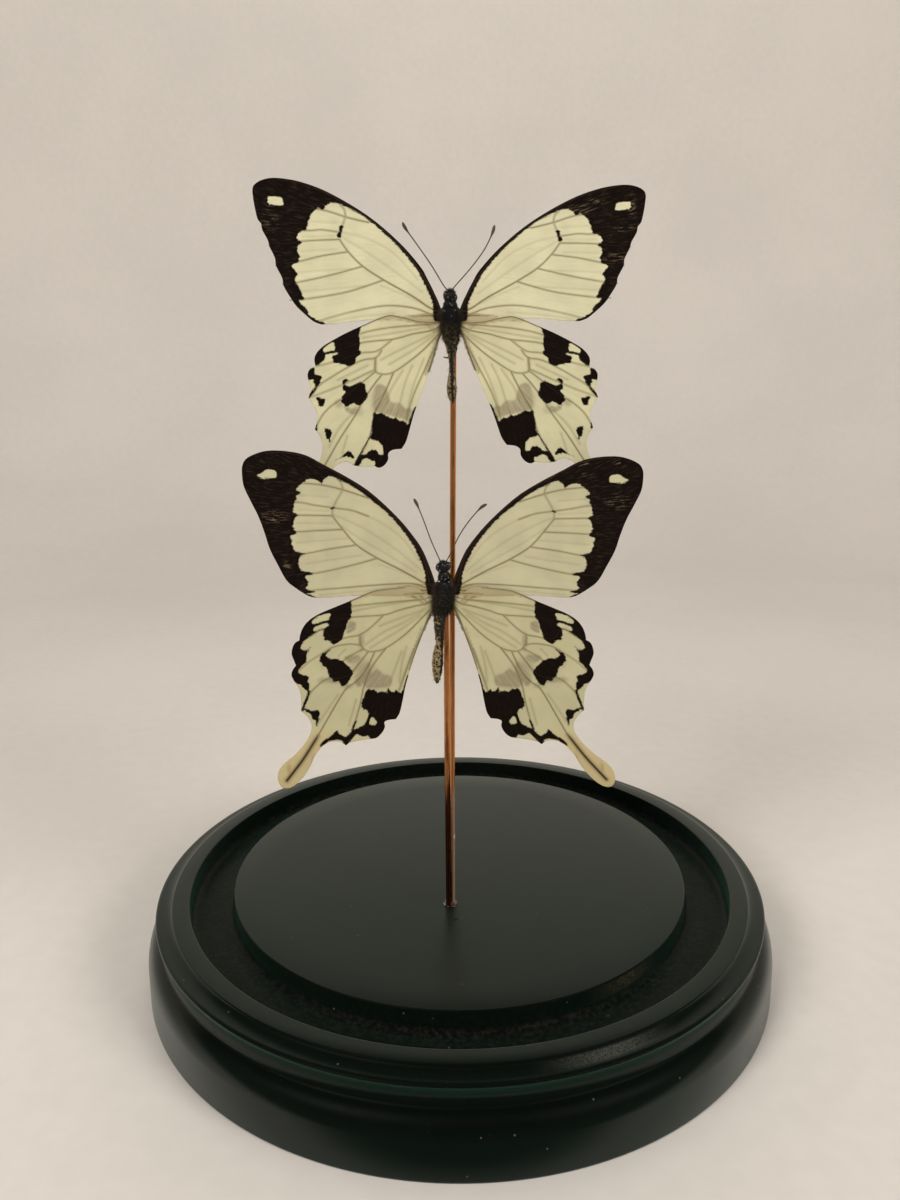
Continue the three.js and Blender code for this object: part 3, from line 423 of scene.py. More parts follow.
# ---- bodies, in the specimen's own frame ----
# abdomen: (radius, y). drift: (y, x) of its middle. The dark band's rows: (y, from, to) beside that
# middle; on the lower body it runs down the right side as painted shade.
# tan_from, fade, tan_to: where its tan scales begin, over how much, and end. speckled_to: where the
# dark spots are at their smallest. grizzled: (y, amount) of grey hairs. specks: tufts of white
# scales (x, y, size). stub: a leg that sticks out. left and right: the antennae.
BODIES = {
    "upper": {
        "head": (-0.15, 4.75, 0.1), "head_radii": (1.3, 1.25, 1.1),
        "eyes": [(-0.98, 5, 0.2), (0.72, 4.5, 0.2)],
        "collar": (-0.12, 3, 0), "collar_width": 1.45, "thorax": (0.03, -0.3, 0),
        "thorax_radii": (1.8, 3.3, 1.9), "rump": (0.05, -2.2, 0), "rump_radii": (1.55, 1.6, 1.6),
        "chest": (0.68, -0.4, -1.1), "chest_radii": (1.2, 2.2, 1.52),
        "abdomen": [(1.3, -1.5), (1.6, -3), (1.5, -4.2), (1.3, -5), (1.08, -6), (0.8, -7),
                    (0.55, -8), (0.5, -9.4), (0.68, -11), (0.95, -12.8), (1.02, -14.2), (0.86, -15.4),
                    (0.5, -16.5), (0.1, -17)],
        "drift": [(-17, 0.72), (-14, 0.5), (-11, 0.5), (-8.4, 0.35), (-6, 0.4), (-4, 0.25), (-1.5, 0)],
        "furry_to": -3.7, "tan_from": -1.2, "fade": 4.5, "tan_to": -17.8, "tan": 0.95,
        "speckled_to": -7, "grizzled": (0, 0.75),
        "stripe_and_shade_band": [(-17, -0.1, 0.3), (-12, -0.25, 0.35), (-8, -0.35, 0.4), (-4, -0.4, 0.4)],
        "specks": [(-1.35, 1.7, 0.35), (0.15, 0.75, 0.3), (-0.15, 3.2, 0.2), (0.3, 4.2, 0.15),
                   (0.2, 2.9, 0.12), (-0.6, 4.5, 0.12), (0.9, 2, 0.2), (-0.3, -0.6, 0.1)],
        "stub": [(0.2, -7.5, -0.5), (-0.6, -7.75, -0.1), (-1.35, -7.6, 0.1)],
        "left": [(-0.5, 6, 0.6), (-1.5, 6.8, 0.7), (-4, 10.6, 1), (-7, 14.6, 1.4), (-9.5, 17.8, 1.6),
                 (-10.3, 19.2, 1.7)],
        "right": [(0.2, 6, 0.6), (0.9, 6.9, 0.7), (4, 10.4, 1), (6.7, 14, 1.4), (8.3, 17.2, 1.6),
                  (8.8, 19, 1.7)],
    },
    "lower": {
        "head": (-0.15, 5.7, 0.1), "head_radii": (1.35, 1.3, 1.15),
        "eyes": [(-1.2, 5.65, 0.2), (0.92, 6.1, 0.2)],
        "collar": (0.15, 3.7, 0), "collar_width": 1.4, "thorax": (-0.1, -0.6, 0),
        "thorax_radii": (2.05, 3.4, 2), "rump": (-0.2, -2.6, 0), "rump_radii": (2.1, 1.9, 1.9),
        "chest": (0.43, 0.6, -1.2), "chest_radii": (1.2, 2, 1.5),
        "abdomen": [(1.3, -1.5), (1.35, -3), (1.27, -5), (1.15, -7), (0.95, -9), (0.85, -11),
                    (0.95, -12.2), (1.12, -13.6), (1.17, -15.4), (1.05, -17), (0.75, -18.6),
                    (0.38, -19.7), (0.08, -20.2)],
        "drift": [(-20.2, -1.15), (-16, -1.12), (-13, -1.02), (-11, -0.7), (-7, -0.85), (-4, -0.9),
                  (-1.5, -0.3)],
        "furry_to": -4.4, "tan_from": -4, "fade": 1.2, "tan_to": -19.6, "tan": 1,
        "speckled_to": -11.5, "grizzled": (1, 0.5),
        # dark band down the right side: painted shade
        "stripe_and_shade_band": [(-20, 0.6, 2), (-13.2, 0.75, 2), (-11.5, 0.15, 2), (-5, 0.1, 2)],
        "specks": [(-1.4, 2.55, 0.3), (-0.55, 3.3, 0.25), (0.3, 3.2, 0.25), (-0.45, 3.8, 0.2),
                   (0.15, 4.45, 0.25), (-0.9, 5.1, 0.2), (0.15, 6.2, 0.2), (-0.3, 6.4, 0.12),
                   (0.75, 5, 0.2), (0.9, 3.6, 0.15), (1, 2.6, 0.12), (0, 2.2, 0.12)],
        "stub": [],
        "left": [(-0.6, 6.6, 0.6), (-1.3, 7.9, 0.7), (-3, 11.6, 1), (-4.5, 15.5, 1.4), (-6, 19, 1.6),
                 (-6.8, 20.4, 1.7)],
        "right": [(0.1, 6.6, 0.6), (0.9, 7.8, 0.7), (3, 12.3, 1), (5, 15.5, 1.4), (7.5, 18.5, 1.6),
                  (9, 19.5, 1.7)],
    },
}
LEG_PAIRS = [
    [(0.5, 2.1, -0.6), (1.15, 2.8, -2.2), (1.6, 1.1, -2.9)],
    [(0.9, 0.6, -1.5), (2, -0.6, -2.7), (2.2, -2.8, -2.9)],
    [(0.9, -1.2, -1.4), (1.3, -3, -2.6), (0.3, -6, -1.9)],
]


# ---- flat curves ----
def brought_forward(x, y, rise, eye):
    """Where a spot of the flat outline stands once it is brought forward by the rise."""
    share = rise / eye[2]
    return x + (eye[0] - x) * share, y + (eye[1] - y) * share


def through(points, step, closed=False):
    """A smooth line through the points, with a point about every step."""
    spots = np.array(points, float)
    count = len(spots)
    line = []
    for i in range(count if closed else count - 1):
        before = spots[i - 1] if closed or i > 0 else spots[0]
        here, there = spots[i], spots[(i + 1) % count]
        after = spots[(i + 2) % count] if closed or i + 2 < count else spots[-1]
        cuts = max(1, round(float(np.linalg.norm(there - here)) / step))
        for t in np.arange(cuts) / cuts:
            line.append(0.5 * (2 * here + (there - before) * t
                               + (2 * before - 5 * here + 4 * there - after) * t * t
                               + (3 * here - before - 3 * there + after) * t ** 3))
    if not closed:
        line.append(spots[-1])
    return np.array(line)


def wing_outline(runs, step=0.35):
    """The closed outline of a wing from its smooth runs, without doubled points."""
    line = [runs[0][0]]
    for number, run in enumerate(runs):
        start = line[-1]
        line.extend(through([start, *(run[1:] if number == 0 else run)], step)[1:])
    line = np.array([tuple(p) for p in line])
    far = np.linalg.norm(line - np.roll(line, 1, axis=0), axis=1) > 1e-3
    return line[far]


def distance_to_line(spots, line):
    """Distance of every spot to a line of straight stretches."""
    best = np.full(len(spots), 1e9)
    for start, end in zip(line[:-1], line[1:]):
        along = end - start
        share = np.clip((spots - start) @ along / max(along @ along, 1e-9), 0, 1)
        gap = spots - start - share[:, None] * along
        best = np.minimum(best, np.hypot(gap[:, 0], gap[:, 1]))
    return best


def depth_inside(spots, loop):
    """Distance to a closed loop, positive inside it."""
    ring = np.vstack([loop, loop[:1]])
    x, y = spots.T
    inside = np.zeros(len(spots), bool)
    for (ax, ay), (bx, by) in zip(ring[:-1], ring[1:]):
        if ay != by:
            inside ^= ((ay > y) != (by > y)) & (x < (bx - ax) * (y - ay) / (by - ay) + ax)
    edge = distance_to_line(spots, ring)
    return np.where(inside, edge, -edge)


def nearest(spots, lines):
    """Distance of every spot to the nearest of several lines."""
    best = np.full(len(spots), FAR)
    for line in lines:
        best = np.minimum(best, distance_to_line(spots, line))
    return best


def smooth_noise(spots, size, seed):
    """Soft noise over flat spots, with waves of about the size."""
    shift = Vector((seed * 7.3, seed * 3.1, seed * 1.7))
    return np.array([noise.noise(Vector((x / size, y / size, 0)) + shift) for x, y in spots])


# ---- meshes ----
def new_object(name, data):
    """An object in the scene that shows a mesh, a curve, a light or a camera."""
    made = bpy.data.objects.new(name, data)
    bpy.context.scene.collection.objects.link(made)
    return made


def mesh_from(bm, name):
    """A mesh from a bmesh, which is used up."""
    mesh = bpy.data.meshes.new(name)
    bm.to_mesh(mesh)
    bm.free()
    return mesh


def get_spots(mesh):
    """The places of all vertices, one in a row."""
    spots = np.zeros(len(mesh.vertices) * 3)
    mesh.vertices.foreach_get("co", spots)
    return spots.reshape(-1, 3)


def put_values(mesh, **values):
    """Gives every vertex numbers, each kept under its name for a material to read."""
    for name, numbers in values.items():
        layer = mesh.attributes.new(name, "FLOAT", "POINT")
        layer.data.foreach_set("value", np.asarray(numbers, np.float32))


def put_vector(mesh, name, values):
    """The same for three numbers under one name."""
    layer = mesh.attributes.new(name, "FLOAT_VECTOR", "POINT")
    layer.data.foreach_set("vector", np.asarray(values, np.float32).ravel())


def set_piece(name, mesh, matrix, materials, node, smooth=True):
    """Places a mesh drawn in millimetres, dresses it and lets it stand for its CAD node."""
    mesh.transform(Matrix.Scale(MM, 4) @ matrix)
    mesh.name = name
    for material in materials:
        mesh.materials.append(material)
    for face in mesh.polygons:
        face.use_smooth = smooth
    made = new_object(name, mesh)
    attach(made, "root")
    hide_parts(node)
    return made


def evaluated_mesh(made):
    """The object's mesh with its modifiers applied. The object is used up."""
    graph = bpy.context.evaluated_depsgraph_get()
    mesh = bpy.data.meshes.new_from_object(made.evaluated_get(graph))
    data = made.data
    bpy.data.objects.remove(made)
    if isinstance(data, bpy.types.Mesh):
        bpy.data.meshes.remove(data)
    else:
        bpy.data.curves.remove(data)
    return mesh


def tubes(paths, resolution=1):
    """Round stalks as one mesh. Each path is (points, radii), a radius for every point."""
    curve = bpy.data.curves.new("stalks", "CURVE")
    curve.dimensions = "3D"
    curve.bevel_depth = 1
    curve.bevel_resolution = resolution
    curve.use_fill_caps = True
    for points, radii in paths:
        spline = curve.splines.new("POLY")
        spline.points.add(len(points) - 1)
        for spot, place, radius in zip(spline.points, points, radii):
            spot.co = (*place, 1)
            spot.radius = radius
    return evaluated_mesh(new_object("stalks", curve))


def turned(profile, steps):
    """A profile of (radius, height) points spun round the Z axis into a closed body."""
    bm = bmesh.new()
    spots = [bm.verts.new((radius, 0, height)) for radius, height in profile]
    edges = [bm.edges.new(pair) for pair in zip(spots[:-1], spots[1:])]
    bmesh.ops.spin(bm, geom=spots + edges, axis=(0, 0, 1), cent=(0, 0, 0), steps=steps,
                   angle=2 * math.pi, use_merge=True)
    bmesh.ops.remove_doubles(bm, verts=bm.verts, dist=1e-4)
    bmesh.ops.recalc_face_normals(bm, faces=bm.faces)
    return bm


# ---- shader helpers ----
def feed(tree, node, inputs):
    """Links a socket to an input, and sets anything else as the input's value."""
    for name, value in inputs.items():
        if isinstance(value, bpy.types.NodeSocket):
            tree.links.new(value, node.inputs[name])
        else:
            node.inputs[name].default_value = value


def put(tree, kind, inputs=None, **settings):
    """A new node with its settings and inputs."""
    made = tree.nodes.new(kind)
    for name, value in settings.items():
        setattr(made, name, value)
    feed(tree, made, inputs or {})
    return made


def math_node(tree, operation, first, second=0.0, clamp=False):
    made = put(tree, "ShaderNodeMath", {0: first, 1: second}, operation=operation, use_clamp=clamp)
    return made.outputs[0]


def times(tree, first, *others):
    """The product of all the values."""
    for other in others:
        first = math_node(tree, "MULTIPLY", first, other)
    return first


def mixed(tree, factor, first, second):
    """The second colour laid over the first."""
    made = put(tree, "ShaderNodeMix", {0: factor, 6: first, 7: second}, data_type="RGBA")
    return made.outputs[2]


def ramp(tree, value, low, high, to_low=0.0, to_high=1.0):
    """A smooth rise from to_low to to_high, while the value goes from low to high."""
    made = put(tree, "ShaderNodeMapRange", {"Value": value, "From Min": low, "From Max": high,
                                            "To Min": to_low, "To Max": to_high},
               interpolation_type="SMOOTHSTEP")
    return made.outputs["Result"]


def falling(tree, value, low, high):
    """1 where the value is under low, down to 0 where it is over high."""
    return ramp(tree, value, low, high, 1.0, 0.0)


def attribute(tree, name, output="Fac"):
    """The numbers that the mesh keeps under the name."""
    return put(tree, "ShaderNodeAttribute", attribute_name=name).outputs[output]


def object_place(tree):
    """The place on the object, in metres."""
    return put(tree, "ShaderNodeTexCoord").outputs["Object"]


def noise_value(tree, scale, detail=2.0, roughness=0.5, place=None):
    inputs = {"Scale": scale, "Detail": detail, "Roughness": roughness}
    inputs["Vector"] = place or object_place(tree)
    return put(tree, "ShaderNodeTexNoise", inputs).outputs["Fac"]


def distance_from(tree, place, spot):
    """How far the place is from a fixed spot."""
    made = put(tree, "ShaderNodeVectorMath", {0: place, 1: spot}, operation="DISTANCE")
    return made.outputs["Value"]


def bumped(tree, height, strength, distance):
    """The normal of a surface that the height roughens."""
    inputs = {"Height": height, "Strength": strength, "Distance": distance}
    return put(tree, "ShaderNodeBump", inputs).outputs["Normal"]


def new_material(name):
    """A material, its node tree and its shader."""
    material = bpy.data.materials.new(name)
    material.use_nodes = True
    return material, material.node_tree, material.node_tree.nodes["Principled BSDF"]


def opaque(color, strength=1):
    """A linear colour made lighter or darker, with its alpha."""
    return (*(c * strength for c in color), 1)


def linear(red, green, blue):
    """An sRGB colour in 0-255 as linear values for a shader."""
    def lin(value):
        value /= 255
        return value / 12.92 if value <= 0.04045 else ((value + 0.055) / 1.055) ** 2.4
    return lin(red), lin(green), lin(blue), 1.0


def shader_group(name, inputs):
    """A new shader node group that puts out one Value, what it is given, and its result."""
    group = bpy.data.node_groups.new(name, "ShaderNodeTree")
    for label, default in inputs.items():
        socket = group.interface.new_socket(label, in_out="INPUT", socket_type="NodeSocketFloat")
        socket.default_value = default
    group.interface.new_socket("Value", in_out="OUTPUT", socket_type="NodeSocketFloat")
    given, result = group.nodes.new("NodeGroupInput"), group.nodes.new("NodeGroupOutput")
    return group, given.outputs, result


def grain_group():
    """Fine and coarse mottling mixed, from 0 to 1."""
    if "Mottle" in bpy.data.node_groups:
        return bpy.data.node_groups["Mottle"]
    inputs = {"Fine scale": 4000.0, "Coarse scale": 300.0, "Fine share": 0.5}
    group, given, result = shader_group("Mottle", inputs)
    fine = times(group, noise_value(group, given["Fine scale"], 3.0), given["Fine share"])
    rest = math_node(group, "SUBTRACT", 1.0, given["Fine share"])
    coarse = times(group, noise_value(group, given["Coarse scale"], 3.0), rest)
    feed(group, result, {"Value": math_node(group, "ADD", fine, coarse)})
    return group


def dust_group():
    """Sparse round specks of dust and lint."""
    if "Dust specks" in bpy.data.node_groups:
        return bpy.data.node_groups["Dust specks"]
    group, given, result = shader_group("Dust specks", {"Scale": 400.0, "Size": 0.06, "Amount": 0.4})
    cells = {"Scale": given["Scale"], "Vector": object_place(group)}
    spots = put(group, "ShaderNodeTexVoronoi", cells).outputs
    near = math_node(group, "LESS_THAN", spots["Distance"], given["Size"])
    pick = put(group, "ShaderNodeSeparateColor", {"Color": spots["Color"]})
    chosen = math_node(group, "LESS_THAN", pick.outputs["Red"], given["Amount"])
    feed(group, result, {"Value": times(group, near, chosen)})
    return group


def grouped(tree, group, **inputs):
    """The group's value with the settings given: fine_scale stands for its input Fine scale."""
    named = {label.replace("_", " ").capitalize(): value for label, value in inputs.items()}
    return put(tree, "ShaderNodeGroup", named, node_tree=group).outputs["Value"]


# ---- base ----
SHOULDER = 73.5  # radius where the rim rounds off outwards


class BaseSettings(bpy.types.PropertyGroup):
    """Sizes and finish of the turned base."""
    height: FloatProperty(name="Height", description="Plateau above the table",
                          default=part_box("base")[1].z, unit="LENGTH", subtype="DISTANCE")
    plateau: FloatProperty(name="Plateau radius", description="Radius of the disc in the middle",
                           default=0.0584, unit="LENGTH", subtype="DISTANCE")
    groove_outer: FloatProperty(name="Groove radius", description="Outer radius of the dome's groove",
                                default=0.0692, unit="LENGTH", subtype="DISTANCE")
    paint: FloatVectorProperty(name="Paint", description="Colour of the satin paint",
                               default=(0.0016, 0.0022, 0.0016), subtype="COLOR", min=0, max=1)


def bend(start, control, end, steps=6):
    """A quadratic curve's points, without its start."""
    start, control, end = (np.array(p, float) for p in (start, control, end))
    shares = np.arange(1, steps + 1) / steps
    return [tuple((1 - t) ** 2 * start + 2 * t * (1 - t) * control + t * t * end) for t in shares]


def base_profile(settings):
    """The turned profile from the middle of the underside round to the middle of the plateau."""
    top, plateau, outer = (v / MM for v in (settings.height, settings.plateau, settings.groove_outer))
    floor, fillet, soft, edge = top - 5.4, 1.8, 0.35, 0.3
    foot, neck, bead, rim = (79.7, 9), (76.4, 13.7), (77.1, 18.4), (77, 19.4)
    line = [(0, 0), (79.1, 0)]
    line += bend((79.1, 0), (79.8, 0), (79.8, 0.7), 4) + [(79.75, 5), foot]
    line += bend(foot, (79.4, 12.9), neck, 12) + bend(neck, (75.6, 16), bead, 10)
    line += bend(bead, (77.7, 19.1), rim, 6) + bend(rim, (74, 19.4), (SHOULDER, top - soft), 10)
    line += bend((SHOULDER, top - soft), (SHOULDER, top), (SHOULDER - soft, top), 4)
    line += [(71.4, top), (outer + soft, top)]
    line += bend((outer + soft, top), (outer, top), (outer, top - soft), 4) + [(outer, floor + fillet)]
    line += bend((outer, floor + fillet), (outer, floor), (outer - fillet, floor), 8)
    line += [(64, floor), (plateau + fillet, floor)]
    line += bend((plateau + fillet, floor), (plateau, floor), (plateau, floor + fillet), 8)
    line += [(plateau, top - edge)]
    line += bend((plateau, top - edge), (plateau, top), (plateau - edge, top), 4)
    return line + [(radius, top) for radius in (50, 30, 12, 0)]


def between(tree, angle, low, high, soft):
    """1 between two directions in degrees, fading over the soft width."""
    low, high, soft = (math.radians(v) for v in (low, high, soft))
    return times(tree, ramp(tree, angle, low - soft, low + soft),
                 falling(tree, angle, high - soft, high + soft))


def groove_mask(tree, radius, height, settings):
    """1 on the floor and the walls of the groove."""
    plateau, outer = settings.plateau, settings.groove_outer
    return times(tree, ramp(tree, radius, plateau - 0.0001, plateau + 0.0002),
                 falling(tree, radius, outer - 0.0002, outer + 0.0001),
                 falling(tree, height, settings.height - 0.0002, settings.height))


def bare_mask(tree, radius, height, angle, fine, settings):
    """1 where the brown ground shows through, in the groove's wall below the plateau's edge."""
    top, plateau = settings.height, settings.plateau
    below_edge = times(tree, falling(tree, radius, plateau + 0.0003, plateau + 0.001),
                       ramp(tree, height, top - 0.0042, top - 0.0028),
                       falling(tree, height, top - 0.0006, top - 0.0003),
                       ramp(tree, radius, plateau - 0.0005, plateau - 0.0003))
    return times(tree, between(tree, angle, *BARE_PATCH), below_edge, ramp(tree, fine, 0.42, 0.66))


def grey_edge_mask(tree, radius, height, angle, fine, settings):
    """1 on a lighter grey patch of the rim's outer edge."""
    edge = SHOULDER * MM
    on_edge = times(tree, ramp(tree, radius, edge, edge + 0.0005),
                    falling(tree, radius, edge + 0.002, edge + 0.003))
    return times(tree, between(tree, angle, *GREY_EDGE_PATCH), on_edge,
                 ramp(tree, height, settings.height - 0.0018, settings.height - 0.0012),
                 ramp(tree, fine, 0.3, 0.66, 0.15, 1.0))


def paint_color(tree, around, in_groove, mottle, wear, settings):
    """Black paint, worn thin in the groove, with its bare patch, a lighter grey patch on the rim's edge,
    and dust.
    """
    fine = noise_value(tree, 3200.0, 3.0, 0.6)
    paint = mixed(tree, mottle, opaque(settings.paint, 0.8), opaque(settings.paint, 1.25))
    thin = mixed(tree, ramp(tree, wear, 0.4, 0.7), linear(7, 7, 6), linear(27, 27, 23))
    dust = grouped(tree, dust_group(), scale=330.0, size=0.07, amount=0.22)
    lint = grouped(tree, dust_group(), scale=900.0, size=0.07, amount=0.3)
    color = mixed(tree, in_groove, paint, thin)
    for mask, amount, over in (
            (bare_mask(tree, *around, fine, settings), 0.75, (84, 70, 54)),
            # lighter grey on the rim's outer edge at the front right
            (grey_edge_mask(tree, *around, fine, settings), 0.62, (92, 92, 86)),
            (math_node(tree, "MAXIMUM", dust, times(tree, lint, 0.4)), 0.2, (150, 142, 130))):
        color = mixed(tree, times(tree, mask, amount), color, linear(*over))
    return color


def paint_gloss(tree, place, in_groove, settings):
    """How much the satin coat shines: most where it is seen aslant, least in the groove."""
    facing = put(tree, "ShaderNodeLayerWeight", {"Blend": 0.5}).outputs["Facing"]
    smeared = distance_from(tree, place, (*GLUE_SMEAR, settings.height))
    return times(tree, ramp(tree, facing, 0.27, 0.4), ramp(tree, facing, 0.4, 0.75, 0.52, 1.0),
                 ramp(tree, in_groove, 0.0, 1.0, 1.0, 0.36),
                 ramp(tree, smeared, 0.0003, 0.0007, 0.3, 1.0))


def paint_material(settings):
    """Satin black paint with the fine rings of the lathe under it."""
    material, tree, shader = new_material("Satin black paint")
    place = object_place(tree)
    apart = put(tree, "ShaderNodeSeparateXYZ", {"Vector": place}).outputs
    flat = put(tree, "ShaderNodeCombineXYZ", {"X": apart["X"], "Y": apart["Y"]}).outputs[0]
    radius = put(tree, "ShaderNodeVectorMath", {0: flat}, operation="LENGTH").outputs["Value"]
    angle = math_node(tree, "ARCTAN2", apart["Y"], apart["X"])
    in_groove = groove_mask(tree, radius, apart["Z"], settings)
    mottle = grouped(tree, grain_group(), fine_scale=2600.0, coarse_scale=220.0, fine_share=0.5)
    wear = noise_value(tree, 900.0, 6.0, 0.7)
    section = put(tree, "ShaderNodeCombineXYZ", {"X": radius, "Y": apart["Z"]}).outputs[0]
    rings = noise_value(tree, 1500.0, 2.0, 0.5, section)
    height = math_node(tree, "ADD", times(tree, rings, 0.25), times(tree, mottle, 0.5))
    height = math_node(tree, "ADD", height, times(tree, wear, in_groove, 6.0))
    around = (radius, apart["Z"], angle)
    feed(tree, shader, {
        "Base Color": paint_color(tree, around, in_groove, mottle, wear, settings),
        "Roughness": math_node(tree, "ADD", ramp(tree, mottle, 0.3, 0.7, 0.40, 0.5),
                               times(tree, in_groove, 0.4), clamp=True),
        "Specular IOR Level": 0.025,
        "Coat Weight": paint_gloss(tree, place, in_groove, settings),
        "Coat Roughness": 0.32,
        "Sheen Weight": 0.04, "Sheen Roughness": 0.5, "Sheen Tint": (0.1, 1, 0.6, 1),
        "Normal": bumped(tree, height, 0.25, 0.00012),
    })
    return material


class BuildBase(bpy.types.Operator):
    """Turn the black base with its groove for the dome"""
    bl_idname = "butterflies.base"
    bl_label = "Base"

    def execute(self, context):
        settings = context.scene.butterfly_base
        bm = turned(base_profile(settings), 192)
        set_piece("turned_base", mesh_from(bm, "base"), Matrix.Identity(4),
                  [paint_material(settings)], "base")
        return {"FINISHED"}


# ---- rods and glue ----
class RodSettings(bpy.types.PropertyGroup):
    """The two copper rods and their glue."""
    radius: FloatProperty(name="Radius", description="Radius of a rod", default=0.00065,
                          unit="LENGTH", subtype="DISTANCE", precision=5)
    copper: FloatVectorProperty(name="Copper", description="Clean metal", subtype="COLOR",
                                default=(0.64, 0.29, 0.115), min=0, max=1)
    tarnish: FloatVectorProperty(name="Tarnish", description="Darkened metal", subtype="COLOR",
                                 default=(0.12, 0.043, 0.013), min=0, max=1)


def stretched_noise(tree, place, scale, detail):
    """Noise drawn out along the rod."""
    drawn_out = put(tree, "ShaderNodeMapping", {"Vector": place, "Scale": scale}).outputs[0]
    return noise_value(tree, 1.0, detail, 0.6, drawn_out)


def copper_material(settings):
    """Drawn copper with streaks and stains, painted dark and grey reflections low down, a painted dark
    reflection down the front, and a drip of glue.
    """
    material, tree, shader = new_material("Drawn copper")
    place = object_place(tree)
    streak = stretched_noise(tree, place, (9000, 9000, 60), 3.0)
    stain = stretched_noise(tree, place, (700, 700, 90), 4.0)
    tarnish_and_dark_reflection = math_node(tree, "ADD", times(tree, ramp(tree, streak, 0.45, 0.7), 0.35),
                     times(tree, ramp(tree, stain, 0.48, 0.72), 0.4), clamp=True)
    # band adds the painted dark reflection down the rod's front
    tarnish_and_dark_reflection = math_node(tree, "ADD", tarnish_and_dark_reflection, times(tree, attribute(tree, "band"), 0.65), clamp=True)
    # the dark and grey colours low down are painted reflections of the black base; the grey one is
    # painted as a matte colour
    greyed = attribute(tree, "greyed")
    drip = falling(tree, distance_from(tree, place, GLUE_DRIP), 0.00045, 0.0007)
    color = mixed(tree, tarnish_and_dark_reflection, opaque(settings.copper), opaque(settings.tarnish))
    color = mixed(tree, attribute(tree, "burnt"), color, (0.03, 0.008, 0.005, 1))
    color = mixed(tree, greyed, color, linear(128, 108, 94))
    feed(tree, shader, {
        "Base Color": mixed(tree, drip, color, linear(176, 164, 146)),
        "Roughness": ramp(tree, tarnish_and_dark_reflection, 0, 1, 0.2, 0.42),
        "Metallic": math_node(tree, "SUBTRACT", 1.0, math_node(tree, "MAXIMUM", greyed, drip)),
        "Specular Tint": (1, 0.66, 0.44, 1),
        "Normal": bumped(tree, streak, 0.12, 0.00004),
    })
    return material


def rod_mesh(name, radius, seed, steps=72):
    """A hand-straightened rod with a slight bow, a nipped top end and a painted dark reflection down its
    front.
    """
    draw = random.Random(seed)
    foot, head = (Vector(p) for p in RODS[name])
    bow, (middle, width) = ROD_BOWS[name], ROD_DARK_REFLECTIONS[name]
    along = (head - foot).normalized()
    start = foot - along * ROD_SUNK
    points = []
    for i in range(steps + 1):
        share = i / steps
        sway = bow + 0.03 * math.sin(share * 9 + seed) + draw.uniform(-0.006, 0.006)
        points.append(start.lerp(head, share) + Vector((sway * math.sin(math.pi * share), 0, 0)))
    points[-2:-1] = [points[-1] - along * 0.25]
    mesh = tubes([(points, [radius] * steps + [radius * 0.75])], resolution=8)
    spots = get_spots(mesh)
    heights, places = [p.z for p in points], [p.x for p in points]
    across = (spots[:, 0] - np.interp(spots[:, 2], heights, places)) / radius
    # painted reflections low down: dark on the left rod, grey on the right, crossing the rod as it rises
    rising = np.clip((spots[:, 2] - REFLECTION_FROM) / REFLECTION_OVER, 0, 1)
    burnt = np.clip((across + 1.3 - 2.6 * rising) * 2, 0, 0.9) * (rising < 1)
    greyed = np.clip(1 - 2 * rising, 0, 0.9) * np.clip(across * 2 + 0.6, 0, 1)
    # band: the painted dark reflection down the front half of the rod
    put_values(mesh, burnt=burnt * (name == LEFT_ROD), greyed=greyed * (name != LEFT_ROD),
               band=np.exp(-((across - middle) / width) ** 2) * (spots[:, 1] < foot.y + 0.3))
    return mesh


def glue_material():
    """Clear glue with cloudy places."""
    material, tree, shader = new_material("Clear glue")
    cloud = grouped(tree, grain_group(), fine_scale=3000.0, coarse_scale=700.0, fine_share=0.4)
    feed(tree, shader, {
        "Base Color": (0.96, 0.94, 0.9, 1), "Transmission Weight": 1, "IOR": 1.46,
        "Roughness": ramp(tree, cloud, 0.3, 0.7, 0.05, 0.22),
        "Normal": bumped(tree, cloud, 0.3, 0.0001),
    })
    return material


def glue_mesh():
    """A set drop with a rounded foot that creeps a little way up both rods."""
    foot, waist, lip = (2.0, 0.02), (1.8, 0.36), (0.9, 0.82)
    line = [foot, *bend(foot, (2.1, 0.3), waist), *bend(waist, (1.3, 0.5), lip)]
    bm = turned([(0, 0.02), *line, (0.4, 0.88), (0, 0.88)], 40)
    for vert in bm.verts:
        swell = 0.9 + 0.12 * noise.noise(vert.co * 0.8)
        vert.co.x *= swell * 0.95
        vert.co.y *= swell
    return mesh_from(bm, "glue")


class BuildRods(bpy.types.Operator):
    """Draw the two copper rods and set them in a drop of glue"""
    bl_idname = "butterflies.rods"
    bl_label = "Rods and glue"

    def execute(self, context):
        settings = context.scene.butterfly_rods
        copper = copper_material(settings)
        for number, name in enumerate(RODS):
            rod = rod_mesh(name, settings.radius / MM, number)
            set_piece(f"{name}_copper_rod", rod, Matrix.Identity(4), [copper], f"{name}_rod")
        middle = (Vector(RODS["lower"][0]) + Vector(RODS["upper"][0])) / 2
        set_piece("glue_drop", glue_mesh(), Matrix.Translation(middle), [glue_material()],
                  "glue_bead")
        return {"FINISHED"}


